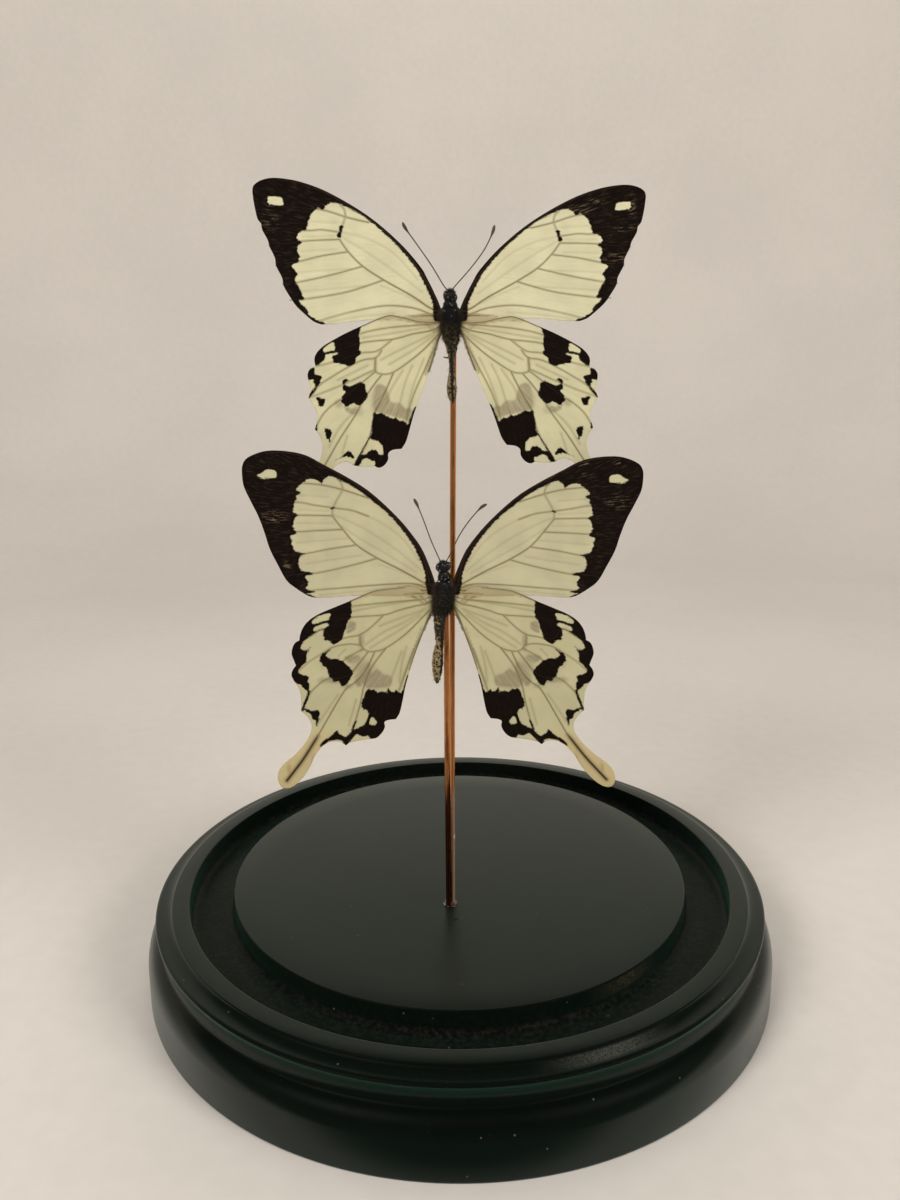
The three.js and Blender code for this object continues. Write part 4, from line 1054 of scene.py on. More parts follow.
# ---- wings ----
class WingSettings(bpy.types.PropertyGroup):
    """Wing membranes and their scales."""
    mesh_step: FloatProperty(name="Mesh step", description="Size of a face on the membrane",
                             default=0.0003, unit="LENGTH", subtype="DISTANCE", precision=5)
    thickness: FloatProperty(name="Thickness", description="Thickness of the membrane",
                             default=0.00014, unit="LENGTH", subtype="DISTANCE", precision=5)
    upper_cream: FloatVectorProperty(name="Upper scales", description="Pale scales, upper specimen",
                                     default=(0.55, 0.52, 0.34), subtype="COLOR", min=0, max=1)
    # The lower specimen's pale scales are darker than the upper's: painted shade on the lower specimen.
    lower_cream_in_shade: FloatVectorProperty(name="Lower scales", description="Pale scales, lower specimen",
                                     default=(0.42, 0.39, 0.245), subtype="COLOR", min=0, max=1)
    ink: FloatVectorProperty(name="Black scales", description="Black-brown scales",
                             default=(0.0055, 0.0032, 0.0022), subtype="COLOR", min=0, max=1)


def membrane(outline, step, thickness):
    """The outline filled with a fine grid of faces and given its thickness."""
    bm = bmesh.new()
    bm.faces.new([bm.verts.new((x, y, 0)) for x, y in outline])
    low, high = outline.min(axis=0), outline.max(axis=0)
    for axis in (0, 1):
        normal = (1, 0, 0) if axis == 0 else (0, 1, 0)
        for place in np.arange(low[axis] + step, high[axis], step):
            spot = (place, 0, 0) if axis == 0 else (0, place, 0)
            bmesh.ops.bisect_plane(bm, geom=bm.verts[:] + bm.edges[:] + bm.faces[:], dist=1e-5,
                                   plane_co=spot, plane_no=normal)
    bmesh.ops.recalc_face_normals(bm, faces=bm.faces)
    bmesh.ops.solidify(bm, geom=bm.faces[:], thickness=thickness)
    half = thickness / 2
    back = half if min(vert.co.z for vert in bm.verts) < -half else -half
    bmesh.ops.translate(bm, verts=bm.verts, vec=(0, 0, back))
    return bm


def vein_tubes(veins):
    """The veins as thin stalks in the middle of the membrane."""
    paths = []
    for points, root, end, _ in veins:
        line = through(points, LINE_STEP)
        shares = np.linspace(0, 1, len(line))
        paths.append(([(x, y, 0) for x, y in line], 0.9 * (root + (end - root) * shares)))
    return tubes(paths)


def black_depth(flat, form):
    """Distance into the black patches, negative outside them and in their pale windows."""
    black = np.full(len(flat), -FAR)
    for loop in form["black"]:
        black = np.maximum(black, depth_inside(flat, through(loop, LOOP_STEP, True)))
    for loop in form["pale"]:
        black = np.minimum(black, -depth_inside(flat, through(loop, LOOP_STEP, True)))
    for points, half in form["bars"]:
        black = np.maximum(black, half - distance_to_line(flat, through(points, FINE_STEP)))
    return black


def patches(flat, spots):
    """Soft oval patches (x, y, half width, half height, amount)."""
    value = np.zeros(len(flat))
    for x, y, half_x, half_y, amount in spots:
        reach = np.hypot((flat[:, 0] - x) / half_x, (flat[:, 1] - y) / half_y)
        value = np.maximum(value, amount * np.clip(1.45 - reach, 0, 1))
    return value


def margin_hairs(form, draw):
    """Hair along the inner margin near the root."""
    roots, directions, lengths = [], [], []
    for points, reach, spacing, longest in form["hairs"]:
        line = through(points, spacing)
        ahead = np.gradient(line, axis=0)
        ahead /= np.linalg.norm(ahead, axis=1)[:, None]
        for (x, y), (dx, dy) in zip(line, ahead):
            roots.append((x + draw.normal(0, reach), y + draw.normal(0, reach), draw.normal(0, 0.05)))
            directions.append((dx + draw.normal(0, 0.25), dy + draw.normal(0, 0.25),
                               draw.normal(0, 0.15)))
            lengths.append(longest * draw.uniform(0.5, 1))
    return mesh_of_hairs(np.array(roots), np.array(directions), np.array(lengths), 0.022, draw,
                         "margin hairs")


def nearest_vein(flat, veins):
    """Distance to the nearest vein, and how dark that one is."""
    near, tone = np.full(len(flat), FAR), np.zeros(len(flat))
    for points, _, _, darkness in veins:
        gap = distance_to_line(flat, through(points, LINE_STEP))
        tone = np.where(gap < near, darkness, tone)
        near = np.minimum(near, gap)
    return near, tone


def thin_scales(flat, form):
    """Where the scales are thin and grey, from 0 to 1."""
    dull = patches(flat, form["dull"])
    for loop in form["grey"]:
        depth = depth_inside(flat, through(loop, FINE_STEP, True))
        dull = np.maximum(dull, 0.8 * np.clip(depth / 0.5 + 0.4, 0, 1))
    return dull


def tail_core(flat, form):
    """The dark core of the tail, with its soft shade, from the tail's root on."""
    vein = form["veins"][form["tail_vein"]][0]
    core = nearest(flat, [through(vein, LINE_STEP)])
    core = 0.16 * np.exp(-(core / 0.95) ** 2) + 0.8 * np.exp(-(core / 0.42) ** 2)
    return core * np.clip((TAIL_ROOT + 1.5 - flat[:, 1]) / 3, 0, 1)


def scale_grain(flat, form):
    """Angle and distance from the point that the rows of scales fan out from."""
    fan = flat - np.array(WING_HINGE if form["hind"] else FOREWING_FAN)
    angle, far = np.arctan2(fan[:, 1], fan[:, 0]), np.linalg.norm(fan, axis=1)
    return np.column_stack([angle * (14 if form["hind"] else 20), far * 0.06, far * 0])


def color_wing(mesh, form, outline, counts):
    """Gives a flat wing the values that its colours and its relief come from."""
    flat = get_spots(mesh)[:, :2]
    y, number = flat[:, 1], np.arange(len(flat))
    near_vein, vein_tone = nearest_vein(flat, form["veins"])
    near_fold = nearest(flat, [through(points, LINE_STEP) for points in form["folds"]])
    strip = nearest(flat, [through(points, FINE_STEP) for points in form["strips"]])
    # where the wings overlap, for the painted shade of the two layers
    under = depth_inside(flat, through(form["under"], LOOP_STEP, True))
    edge = distance_to_line(flat, np.vstack([outline, outline[:1]]))
    put_values(
        mesh, black=black_depth(flat, form), near_vein=near_vein, vein_tone=vein_tone,
        on_vein=(number >= counts[0]) & (number < counts[1]), hair=number >= counts[1],
        near_fold=near_fold, dull=thin_scales(flat, form), bright=patches(flat, form["bright"]),
        core=tail_core(flat, form) if form["hind"] else np.zeros(len(flat)),
        reach=np.linalg.norm(flat - np.array(WING_HINGE), axis=1),
        under=np.clip(under / 0.12 + 0.5, 0, 1), under_edge=np.clip(1 - np.abs(under) / 0.16, 0, 1),
        strip=np.clip((STRIP_HALF - strip) / 0.08, 0, 1),
        strip_edge=np.clip(1 - np.abs(strip - STRIP_HALF) / 0.12, 0, 1),
        hind=np.clip((1.2 - y) / 1.5, 0, 1) * form["hind"],
        tail=np.clip((TAIL_ROOT + 2.5 - y) / 5, 0, 1) * (flat[:, 0] > 24),
        relief=relief(flat, near_vein, near_fold, edge))
    put_vector(mesh, "grain", scale_grain(flat, form))
    put_vector(mesh, "flat", np.column_stack([flat, np.zeros(len(flat))]))


def wing_mesh(form, settings):
    """One wing lying flat, with its veins and hairs."""
    outline = wing_outline(form["outline"])
    bm = membrane(outline, settings.mesh_step / MM, settings.thickness / MM)
    counts = [len(bm.verts)]
    for extra in (vein_tubes(form["veins"]), margin_hairs(form, np.random.default_rng(5))):
        bm.from_mesh(extra)
        counts.append(len(bm.verts))
        bpy.data.meshes.remove(extra)
    mesh = mesh_from(bm, "wing")
    color_wing(mesh, form, outline, counts)
    return mesh


def relief(flat, near_vein, near_fold, edge):
    """Membrane bellied between the veins, creased along the folds, wavy from drying."""
    belly = -0.07 * (1 - np.exp(-(near_vein / 1.3) ** 2))
    crease = -0.03 * np.exp(-(near_fold / 0.35) ** 2)
    wave = 0.2 * smooth_noise(flat, 9, 1) + 0.04 * smooth_noise(flat, 3.2, 2)
    curl = 0.12 * np.exp(-edge / 1.2) * smooth_noise(flat, 2.4, 3)
    return belly + crease + wave + curl


def spread_wing(mesh, kind, side, setting, eye):
    """Sets a flat wing out at its side of the body, with its lift and relief."""
    wide, sway, rise, long, tail_swing = setting
    spots = get_spots(mesh)
    x, y, z = spots.T
    bumps = np.zeros(len(spots), np.float32)
    mesh.attributes["relief"].data.foreach_get("value", bumps)
    down = np.maximum(0, (TAIL_ROOT - y) / TAIL_LENGTH)
    out_x = wide * x + sway * y + tail_swing * down
    out_y = rise * x + long * y
    if kind == "forewing":
        most, start, over = FOREWING_RISE
        lift = -WING_SPACING + most * (np.maximum(0, out_x - start) / over) ** 2
    else:
        most, start, over = HINDWING_DROP
        lift = WING_SPACING - most * (np.maximum(0, np.hypot(out_x, out_y) - start) / over) ** 2
    lift = lift * np.clip(x / 4, 0.25, 1) + bumps * np.clip((x - 2.5) / 6, 0, 1)
    placed_x, placed_y = brought_forward(side * out_x, out_y, lift, eye)
    mesh.vertices.foreach_set("co", np.column_stack([placed_x, placed_y, z + lift]).ravel())
    if side < 0:
        mesh.flip_normals()
    mesh.update()


def pale_scales(tree, cream, streak, blotch, scales):
    """Cream scales, greyer and warmer towards the root, with painted shade beside the veins, in the
    folds and where the wings overlap, and painted light in a gap at the root.
    """
    hind = attribute(tree, "hind")
    thin = times(tree, attribute(tree, "dull"), ramp(tree, streak, 0.3, 0.6, 0.55, 1.0))
    # painted shade in the creases of the folds, stronger on a hindwing
    fold_shade = times(tree, falling(tree, attribute(tree, "near_fold"), 0.04, 0.45),
                    ramp(tree, hind, 0, 1, 0.5, 1.0))
    color = mixed(tree, ramp(tree, blotch, 0.3, 0.7), opaque(cream, 1.03), opaque(cream, 0.9))
    for mask, amount, over in (
            (ramp(tree, streak, 0.4, 0.75), 0.16, (150, 142, 104)),
            (ramp(tree, scales, 0.3, 0.7), 0.08, (235, 230, 205)),
            (falling(tree, attribute(tree, "reach"), 1.0, 9.0), 0.3, (160, 140, 96)),
            (hind, 0.16, (160, 152, 98)),
            # painted light where the backdrop shows through a gap at the root
            (attribute(tree, "bright"), 0.7, (206, 200, 178)),
            (thin, 0.95, (120, 110, 88)),
            (attribute(tree, "tail"), 0.5, (184, 160, 110)),
            (attribute(tree, "core"), 0.95, (50, 34, 18)),
            # painted shade where the wings overlap, darkest along the covering wing's edge
            (attribute(tree, "under"), 0.42, (128, 106, 68)),
            (attribute(tree, "under_edge"), 0.4, (104, 82, 52)),
            (attribute(tree, "strip"), 0.6, (148, 134, 104)),
            (attribute(tree, "strip_edge"), 0.4, (84, 68, 46)),
            # painted shade in the folds and beside the raised veins
            (fold_shade, 0.36, (112, 102, 68)),
            (falling(tree, attribute(tree, "near_vein"), 0.08, 0.42), 0.5, (108, 98, 62))):
        color = mixed(tree, times(tree, mask, amount), color, linear(*over))
    return color


def black_scales(tree, grain, on_vein, settings):
    """Black scales in combed rows, browner on the veins and where they are rubbed off."""
    rows = noise_value(tree, 7.0, 4.0, 0.65, grain)
    threads = times(tree, ramp(tree, rows, 0.5, 0.68, 0.0, 0.5),
                    ramp(tree, attribute(tree, "hind"), 0, 1, 1.0, 0.25))
    color = mixed(tree, threads, opaque(settings.ink), linear(58, 46, 36))
    color = mixed(tree, times(tree, on_vein, 0.35), color, linear(60, 46, 36))
    worn = times(tree, attribute(tree, "scuff"), ramp(tree, rows, 0.5, 0.62))
    return mixed(tree, worn, color, linear(112, 96, 78))


def black_mask(tree, streak, flat, tone, on_vein):
    """1 on black scales, with the ragged and combed edges of their patches, and on thick veins."""
    ragged = math_node(tree, "SUBTRACT", noise_value(tree, 2.6, 4.0, 0.7, flat), 0.5)
    combed = math_node(tree, "SUBTRACT", streak, 0.5)
    uneven = math_node(tree, "ADD", times(tree, ragged, 0.75), times(tree, combed, 1.1))
    depth = math_node(tree, "ADD", attribute(tree, "black"), uneven)
    thick = times(tree, math_node(tree, "GREATER_THAN", tone, 0.9), on_vein)
    return math_node(tree, "MAXIMUM", ramp(tree, depth, -0.16, 0.12), thick)


def wing_material(name, cream, settings):
    """Cream and black scales over veins and hairs, dry and without shine."""
    material, tree, shader = new_material(name)
    grain, flat = attribute(tree, "grain", "Vector"), attribute(tree, "flat", "Vector")
    streak = noise_value(tree, 3.0, 5.0, 0.65, grain)
    blotch = noise_value(tree, 0.14, 3.0, 0.5, flat)
    scales = noise_value(tree, 9.0, 2.0, 0.6, flat)
    tone, on_vein = attribute(tree, "vein_tone"), attribute(tree, "on_vein")
    vein = mixed(tree, tone, linear(132, 120, 80), linear(34, 24, 15))
    pale = pale_scales(tree, cream, streak, blotch, scales)
    pale = mixed(tree, times(tree, on_vein, 0.66), pale, vein)
    dark = black_mask(tree, streak, flat, tone, on_vein)
    color = mixed(tree, dark, pale, black_scales(tree, grain, on_vein, settings))
    height = math_node(tree, "ADD", times(tree, scales, 0.5), streak)
    feed(tree, shader, {
        "Base Color": mixed(tree, attribute(tree, "hair"), color, linear(52, 40, 28)),
        "Roughness": ramp(tree, dark, 0, 1, 0.78, 0.66),
        "Specular IOR Level": 0.03,
        "Normal": bumped(tree, height, 0.22, 0.00006),
    })
    return material


class BuildWings(bpy.types.Operator):
    """Spread the eight wings with their veins and markings"""
    bl_idname = "butterflies.wings"
    bl_label = "Wings"

    def execute(self, context):
        settings = context.scene.butterfly_wings
        looks = {
            "upper": wing_material("Scales upper", settings.upper_cream, settings),
            # the lower specimen's scales are a darker copy: painted shade
            "lower": wing_material("Scales lower", settings.lower_cream_in_shade, settings),
        }
        for (specimen, kind), form in WING_FORMS.items():
            flat = wing_mesh(form, settings)
            eye = PLACES[specimen].inverted() @ Vector(EYE)
            for side, word in ((-1, "left"), (1, "right")):
                setting = AS_TRACED if side < 0 else RIGHT_SETTINGS[specimen, kind]
                wing = flat.copy()
                scuffs = SCUFFS.get((specimen, kind, word), [])
                put_values(wing, scuff=patches(get_spots(wing)[:, :2], scuffs))
                spread_wing(wing, kind, side, setting, eye)
                set_piece(f"{kind}_{specimen}_{word}", wing, PLACES[specimen], [looks[specimen]],
                          f"{specimen}_{word}_{kind}")
            bpy.data.meshes.remove(flat)
        return {"FINISHED"}


# ---- bodies ----
class BodySettings(bpy.types.PropertyGroup):
    """Fur and horn of the bodies."""
    hairs: IntProperty(name="Hairs", description="Hairs on one thorax and head", default=5200, min=0)
    hair_length: FloatProperty(name="Hair length", description="Longest hair on the thorax",
                               default=0.0013, unit="LENGTH", subtype="DISTANCE", precision=5)
    fur: FloatVectorProperty(name="Fur", description="Black hair", default=(0.007, 0.0065, 0.006),
                             subtype="COLOR", min=0, max=1)
    tan: FloatVectorProperty(name="Belly scales", description="Tan scales of the abdomen",
                             default=(0.30, 0.235, 0.115), subtype="COLOR", min=0, max=1)


def ball(bm, centre, radii, segments=24):
    """Adds a round form with its own radius in each direction."""
    made = bmesh.ops.create_uvsphere(bm, u_segments=segments, v_segments=segments // 2, radius=1)
    bmesh.ops.scale(bm, verts=made["verts"], vec=radii)
    bmesh.ops.translate(bm, verts=made["verts"], vec=centre)


def drift_at(y, plan):
    """How far the middle of the abdomen stands to the side at a height."""
    heights, places = zip(*plan["drift"])
    return np.interp(y, heights, places)


def add_abdomen(bm, plan):
    """The ringed abdomen, spun round Z and laid along the body."""
    ring_length, depth = 1.85, 0.07
    ringed = []
    for radius, y in through(plan["abdomen"], 0.18):
        pinch = depth * (0.5 + 0.5 * math.cos(2 * math.pi * (y + 1.5) / ring_length)) ** 3
        ringed.append((max(0.02, radius * (1 - pinch)), y))
    form = turned([(0, ringed[0][1]), *ringed, (0, ringed[-1][1] - 0.05)], 28)
    laid = Matrix.Rotation(-math.pi / 2, 3, "X")
    bmesh.ops.rotate(form, verts=form.verts, cent=(0, 0, 0), matrix=laid)
    for vert in form.verts:
        vert.co.z = -vert.co.z
        vert.co.x += drift_at(vert.co.y, plan)
    bmesh.ops.recalc_face_normals(form, faces=form.faces)
    mesh = mesh_from(form, "abdomen")
    bm.from_mesh(mesh)
    bpy.data.meshes.remove(mesh)


def trunk_mesh(plan):
    """Head, collar, thorax and abdomen grown together."""
    bm = bmesh.new()
    x, y, z = plan["head"]
    ball(bm, (x, y, z), plan["head_radii"])
    ball(bm, (x, y + 0.95, z + 0.1), (0.7, 0.5, 0.55))  # palps
    ball(bm, plan["collar"], (plan["collar_width"], 1.2, 1.2))
    for part in ("thorax", "rump", "chest"):  # the chest is the underside, against the rod
        ball(bm, plan[part], plan[f"{part}_radii"])
    for side in (-1, 1):
        ball(bm, (side * 1.5, 1.2, 0.2), (0.75, 1.4, 0.85))  # shoulders where the forewings hinge
        ball(bm, (side * 1.5, -1.2, -0.3), (0.7, 1.2, 0.7))
    add_abdomen(bm, plan)
    made = new_object("trunk", mesh_from(bm, "trunk"))
    fuse = made.modifiers.new("fuse", "REMESH")
    fuse.mode = "VOXEL"
    fuse.voxel_size = 0.16
    ease = made.modifiers.new("ease", "SMOOTH")
    ease.iterations = 4
    ease.factor = 0.5
    return evaluated_mesh(made)


def legs_mesh(plan):
    """Six folded legs with their knees, and the stub."""
    legs = [[(side * x, y, z) for x, y, z in leg] for side in (-1, 1) for leg in LEG_PAIRS]
    if plan["stub"]:
        legs.append(plan["stub"])
    paths = []
    for leg in legs:
        line = through(leg, 0.35)
        shares = np.linspace(0, 1, len(line))
        knee = 0.05 * np.exp(-((shares - 0.5) / 0.08) ** 2)
        paths.append((line, 0.2 - 0.08 * shares + knee))
    return tubes(paths)


def mesh_of_hairs(roots, directions, lengths, width, draw, name):
    """Three-sided hairs, each bent once and ending in a point, as one mesh."""
    count = len(roots)
    forward = directions / np.linalg.norm(directions, axis=1)[:, None]
    level = np.abs(forward[:, 2:3]) < 0.8
    side = np.cross(forward, np.where(level, np.array([[0, 0, 1.0]]), np.array([[1.0, 0, 0]])))
    side /= np.linalg.norm(side, axis=1)[:, None]
    other = np.cross(forward, side)
    droop = draw.normal(0, 0.16, (count, 3)) * lengths[:, None]
    spots = []
    for share, thick in ((0.0, width), (0.55, 0.75 * width)):
        centre = roots + forward * (lengths * share)[:, None] + droop * share ** 2
        for turn in (0, 2 * math.pi / 3, 4 * math.pi / 3):
            spots.append(centre + (side * math.cos(turn) + other * math.sin(turn)) * thick)
    spots.append(roots + forward * lengths[:, None] + droop)
    one = [(0, 1, 4, 3), (1, 2, 5, 4), (2, 0, 3, 5), (3, 4, 6), (4, 5, 6), (5, 3, 6), (2, 1, 0)]
    faces = [tuple(len(spots) * i + corner for corner in face) for i in range(count) for face in one]
    mesh = bpy.data.meshes.new(name)
    mesh.from_pydata(np.stack(spots, axis=1).reshape(-1, 3).tolist(), [], faces)
    return mesh


def surface_samples(mesh, count, weight, draw):
    """Random places on a mesh, more where weight(place) is high, with their normals."""
    mesh.calc_loop_triangles()
    spots = get_spots(mesh)
    corners = np.zeros(len(mesh.loop_triangles) * 3, int)
    mesh.loop_triangles.foreach_get("vertices", corners)
    a, b, c = (spots[corners.reshape(-1, 3)[:, i]] for i in range(3))
    cross = np.cross(b - a, c - a)
    area = np.linalg.norm(cross, axis=1)
    share = area * weight((a + b + c) / 3)
    chosen = draw.choice(len(area), count, p=share / share.sum())
    u, v = draw.random((2, count))
    over = u + v > 1
    u, v = np.where(over, 1 - u, u), np.where(over, 1 - v, v)
    places = a[chosen] + (b - a)[chosen] * u[:, None] + (c - a)[chosen] * v[:, None]
    return places, cross[chosen] / area[chosen][:, None]


def joined(parts, name):
    """Several (mesh, material index) as one mesh."""
    bm = bmesh.new()
    for mesh, number in parts:
        first = len(bm.faces)
        bm.from_mesh(mesh)
        bm.faces.ensure_lookup_table()
        for face in bm.faces[first:]:
            face.material_index = number
        bpy.data.meshes.remove(mesh)
    return mesh_from(bm, name)


def coat_hairs(trunk, plan, settings, draw):
    """Hair lying back along the body, and short on the head."""
    def furry(place):
        return np.where(place[:, 1] > plan["furry_to"], 1.0, 0.02)

    roots, normals = surface_samples(trunk, settings.hairs, furry, draw)
    count, y = len(roots), roots[:, 1]
    longest = settings.hair_length / MM
    lengths = longest * np.where(y > 2.6, 0.4, 1.0) * draw.uniform(0.5, 1.1, count)
    lay = np.column_stack([np.zeros(count), np.where(y > 5.4, 0.4, -1.0), np.zeros(count)])
    directions = normals * 0.42 + lay * 0.9 + draw.normal(0, 0.2, normals.shape)
    return mesh_of_hairs(roots, directions, lengths, 0.028, draw, "coat")


def abdomen_scales(trunk, settings, draw):
    """Short broad scales lying back over the abdomen."""
    def behind(place):
        return np.where(place[:, 1] < -2.6, 1.0, 0.0)

    roots, normals = surface_samples(trunk, settings.hairs // 2, behind, draw)
    lengths = draw.uniform(0.25, 0.5, len(roots))
    directions = normals * 0.25 + np.array([[0, -1.0, 0]]) + draw.normal(0, 0.15, normals.shape)
    return mesh_of_hairs(roots, directions, lengths, 0.035, draw, "scales")


def root_tufts(trunk, settings, draw):
    """Longer tufts that stand out and back at the wing roots."""
    def at_roots(place):
        return (np.abs(place[:, 0]) > 1.35) * (place[:, 1] > -2.6) * (place[:, 1] < 2.3)

    roots, normals = surface_samples(trunk, settings.hairs // 7, at_roots, draw)
    outwards = np.sign(roots[:, :1]) * np.array([[1.0, 0, 0]])
    directions = outwards + np.array([[0, -0.75, 0.12]]) + draw.normal(0, 0.28, normals.shape)
    lengths = draw.uniform(0.7, 1.5, len(roots))
    return mesh_of_hairs(roots, directions, lengths, 0.03, draw, "tufts")


def pale_specks(trunk, plan, draw):
    """Little tufts of white scales lying on the head, collar and shoulders."""
    surface = BVHTree.FromPolygons([vert.co for vert in trunk.vertices],
                                   [face.vertices for face in trunk.polygons])
    roots = []
    for x, y, size in plan["specks"]:
        spot = surface.ray_cast(Vector((x, y, 9)), Vector((0, 0, -1)))[0] or Vector((x, y, 0))
        roots.extend(np.array(spot) + draw.normal(0, size / 3, (9, 3)))
    roots = np.array(roots)
    directions = np.array([[0, -0.7, 0.6]]) + draw.normal(0, 0.3, roots.shape)
    lengths = draw.uniform(0.16, 0.3, len(roots))
    return mesh_of_hairs(roots, directions, lengths, 0.035, draw, "specks")


def fur_material(name, settings):
    """Black fur, brown at the wing roots. Behind the waist tan scales with round dark spots."""
    material, tree, shader = new_material(name)
    place = attribute(tree, "place", "Vector")
    spots = put(tree, "ShaderNodeTexVoronoi", {"Vector": place, "Scale": 1.45, "Randomness": 0.75})
    shrunk = times(tree, attribute(tree, "speckled"), 0.24)
    dots = falling(tree, math_node(tree, "SUBTRACT", spots.outputs["Distance"], shrunk), 0.36, 0.46)
    mottle = grouped(tree, grain_group(), fine_scale=5200.0, coarse_scale=900.0, fine_share=0.55)
    tan = mixed(tree, ramp(tree, mottle, 0.35, 0.65), opaque(settings.tan), linear(112, 92, 58))
    tan = mixed(tree, times(tree, dots, 0.95), tan, linear(30, 22, 14))
    clumps = ramp(tree, noise_value(tree, 2.6, 2.0, 0.6, place), 0.5, 0.62)
    grizzle = times(tree, clumps, attribute(tree, "grizzled"))
    black = mixed(tree, grizzle, opaque(settings.fur), linear(104, 92, 70))
    black = mixed(tree, attribute(tree, "brown"), black, linear(62, 50, 38))
    feed(tree, shader, {
        "Base Color": mixed(tree, attribute(tree, "tan"), black, tan),
        "Roughness": ramp(tree, mottle, 0.2, 0.8, 0.45, 0.75),
        "Specular IOR Level": 0.2,
        "Normal": bumped(tree, mottle, 0.5, 0.0001),
    })
    return material


def plain_material(name, color, roughness, second, mottle_scale=3000.0):
    """Two near colours mottled, for the small hard pieces."""
    material, tree, shader = new_material(name)
    mottle = grouped(tree, grain_group(), fine_scale=mottle_scale, coarse_scale=mottle_scale / 6,
                     fine_share=0.5)
    feed(tree, shader, {
        "Base Color": mixed(tree, ramp(tree, mottle, 0.35, 0.65), color, second),
        "Roughness": ramp(tree, mottle, 0.3, 0.7, roughness, roughness + 0.15),
        "Normal": bumped(tree, mottle, 0.2, 0.00005),
    })
    return material


def eyes_mesh(plan):
    """Two round eyes at the sides of the head."""
    bm = bmesh.new()
    for eye in plan["eyes"]:
        ball(bm, eye, (0.68, 0.85, 0.75), 28)
    return mesh_from(bm, "eyes")


def tan_share(x, y, plan):
    """1 where the abdomen's tan scales show, 0 along its dark band (painted shade down the lower body's
    right side) and in front of the waist.
    """
    heights, lows, highs = zip(*plan["stripe_and_shade_band"])
    aside = x - drift_at(y, plan)
    inside = np.minimum(aside - np.interp(y, heights, lows), np.interp(y, heights, highs) - aside)
    band = np.clip(0.5 - inside / 0.16, 0, 1)
    return (band * np.clip((plan["tan_from"] - y) / plan["fade"], 0, 1)
            * np.clip((y - plan["tan_to"]) / 0.7, 0, 1) * plan["tan"])


def body_mesh(plan, settings, seed):
    """A whole body with the values that its colours come from."""
    draw = np.random.default_rng(seed)
    trunk = trunk_mesh(plan)
    specks = pale_specks(trunk, plan, draw)
    hairs = [coat_hairs(trunk, plan, settings, draw), abdomen_scales(trunk, settings, draw),
             root_tufts(trunk, settings, draw)]
    parts = [(part, 0) for part in (trunk, *hairs)]
    mesh = joined([*parts, (legs_mesh(plan), 1), (eyes_mesh(plan), 2), (specks, 3)], "body")
    x, y, z = get_spots(mesh).T
    start, most = plan["grizzled"]
    put_values(mesh, tan=tan_share(x, y, plan), speckled=np.clip((y - plan["speckled_to"]) / 2, 0, 1),
               grizzled=np.clip((start - y) / 2, 0, most) * np.clip((y + 9) / 3, 0, 1),
               brown=np.clip((np.abs(x) - 1.3) / 0.9, 0, 0.6) * (y < 2.5) * (y > -6))
    put_vector(mesh, "place", np.column_stack([x, y, z]))
    return mesh


class BuildBodies(bpy.types.Operator):
    """Grow the two furry bodies with their legs and eyes"""
    bl_idname = "butterflies.bodies"
    bl_label = "Bodies"

    def execute(self, context):
        settings = context.scene.butterfly_bodies
        shared = [
            plain_material("Leg horn", linear(44, 34, 26), 0.5, linear(20, 15, 12)),
            plain_material("Eyes", linear(12, 10, 9), 0.12, linear(20, 15, 11)),
            plain_material("White scales", linear(206, 206, 198), 0.7, linear(140, 140, 136)),
        ]
        fur = fur_material("Fur", settings)
        for number, (name, plan) in enumerate(BODIES.items()):
            set_piece(f"{name}_furry_body", body_mesh(plan, settings, 11 + number), PLACES[name],
                      [fur, *shared], f"{name}_body")
        return {"FINISHED"}


# ---- antennae ----
class AntennaSettings(bpy.types.PropertyGroup):
    """The clubbed antennae."""
    radius: FloatProperty(name="Shaft radius", description="Radius of the shaft", default=0.00013,
                          unit="LENGTH", subtype="DISTANCE", precision=5)
    club: FloatProperty(name="Club radius", description="Radius of the club", default=0.00036,
                        unit="LENGTH", subtype="DISTANCE", precision=5)


def antenna_mesh(flat_points, settings, eye):
    """A ringed stalk that swells into its club over the last few millimetres."""
    points = [(*brought_forward(x, y, rise, eye), rise) for x, y, rise in flat_points]
    line = through(points, 0.14)
    gaps = np.linalg.norm(np.diff(line, axis=0), axis=1)
    along = np.concatenate([[0], np.cumsum(gaps)])
    left = along[-1] - along
    shaft, club = settings.radius / MM, settings.club / MM
    swell = np.exp(-((left - 1.0) / 1.0) ** 2)
    end = np.clip(left / 0.35, 0.15, 1) ** 0.5
    rings = 1 - 0.16 * (np.arange(len(line)) % 3 == 0)
    return tubes([(line, (shaft + (club - shaft) * swell) * rings * end)], resolution=2)


class BuildAntennae(bpy.types.Operator):
    """Add the four clubbed antennae"""
    bl_idname = "butterflies.antennae"
    bl_label = "Antennae"

    def execute(self, context):
        settings = context.scene.butterfly_antennae
        horn = plain_material("Antenna horn", linear(66, 52, 42), 0.5, linear(34, 26, 20), 4200.0)
        for name, plan in BODIES.items():
            eye = PLACES[name].inverted() @ Vector(EYE)
            for side in ("left", "right"):
                set_piece(f"antenna_{name}_{side}", antenna_mesh(plan[side], settings, eye),
                          PLACES[name], [horn], f"{name}_{side}_antenna")
        return {"FINISHED"}


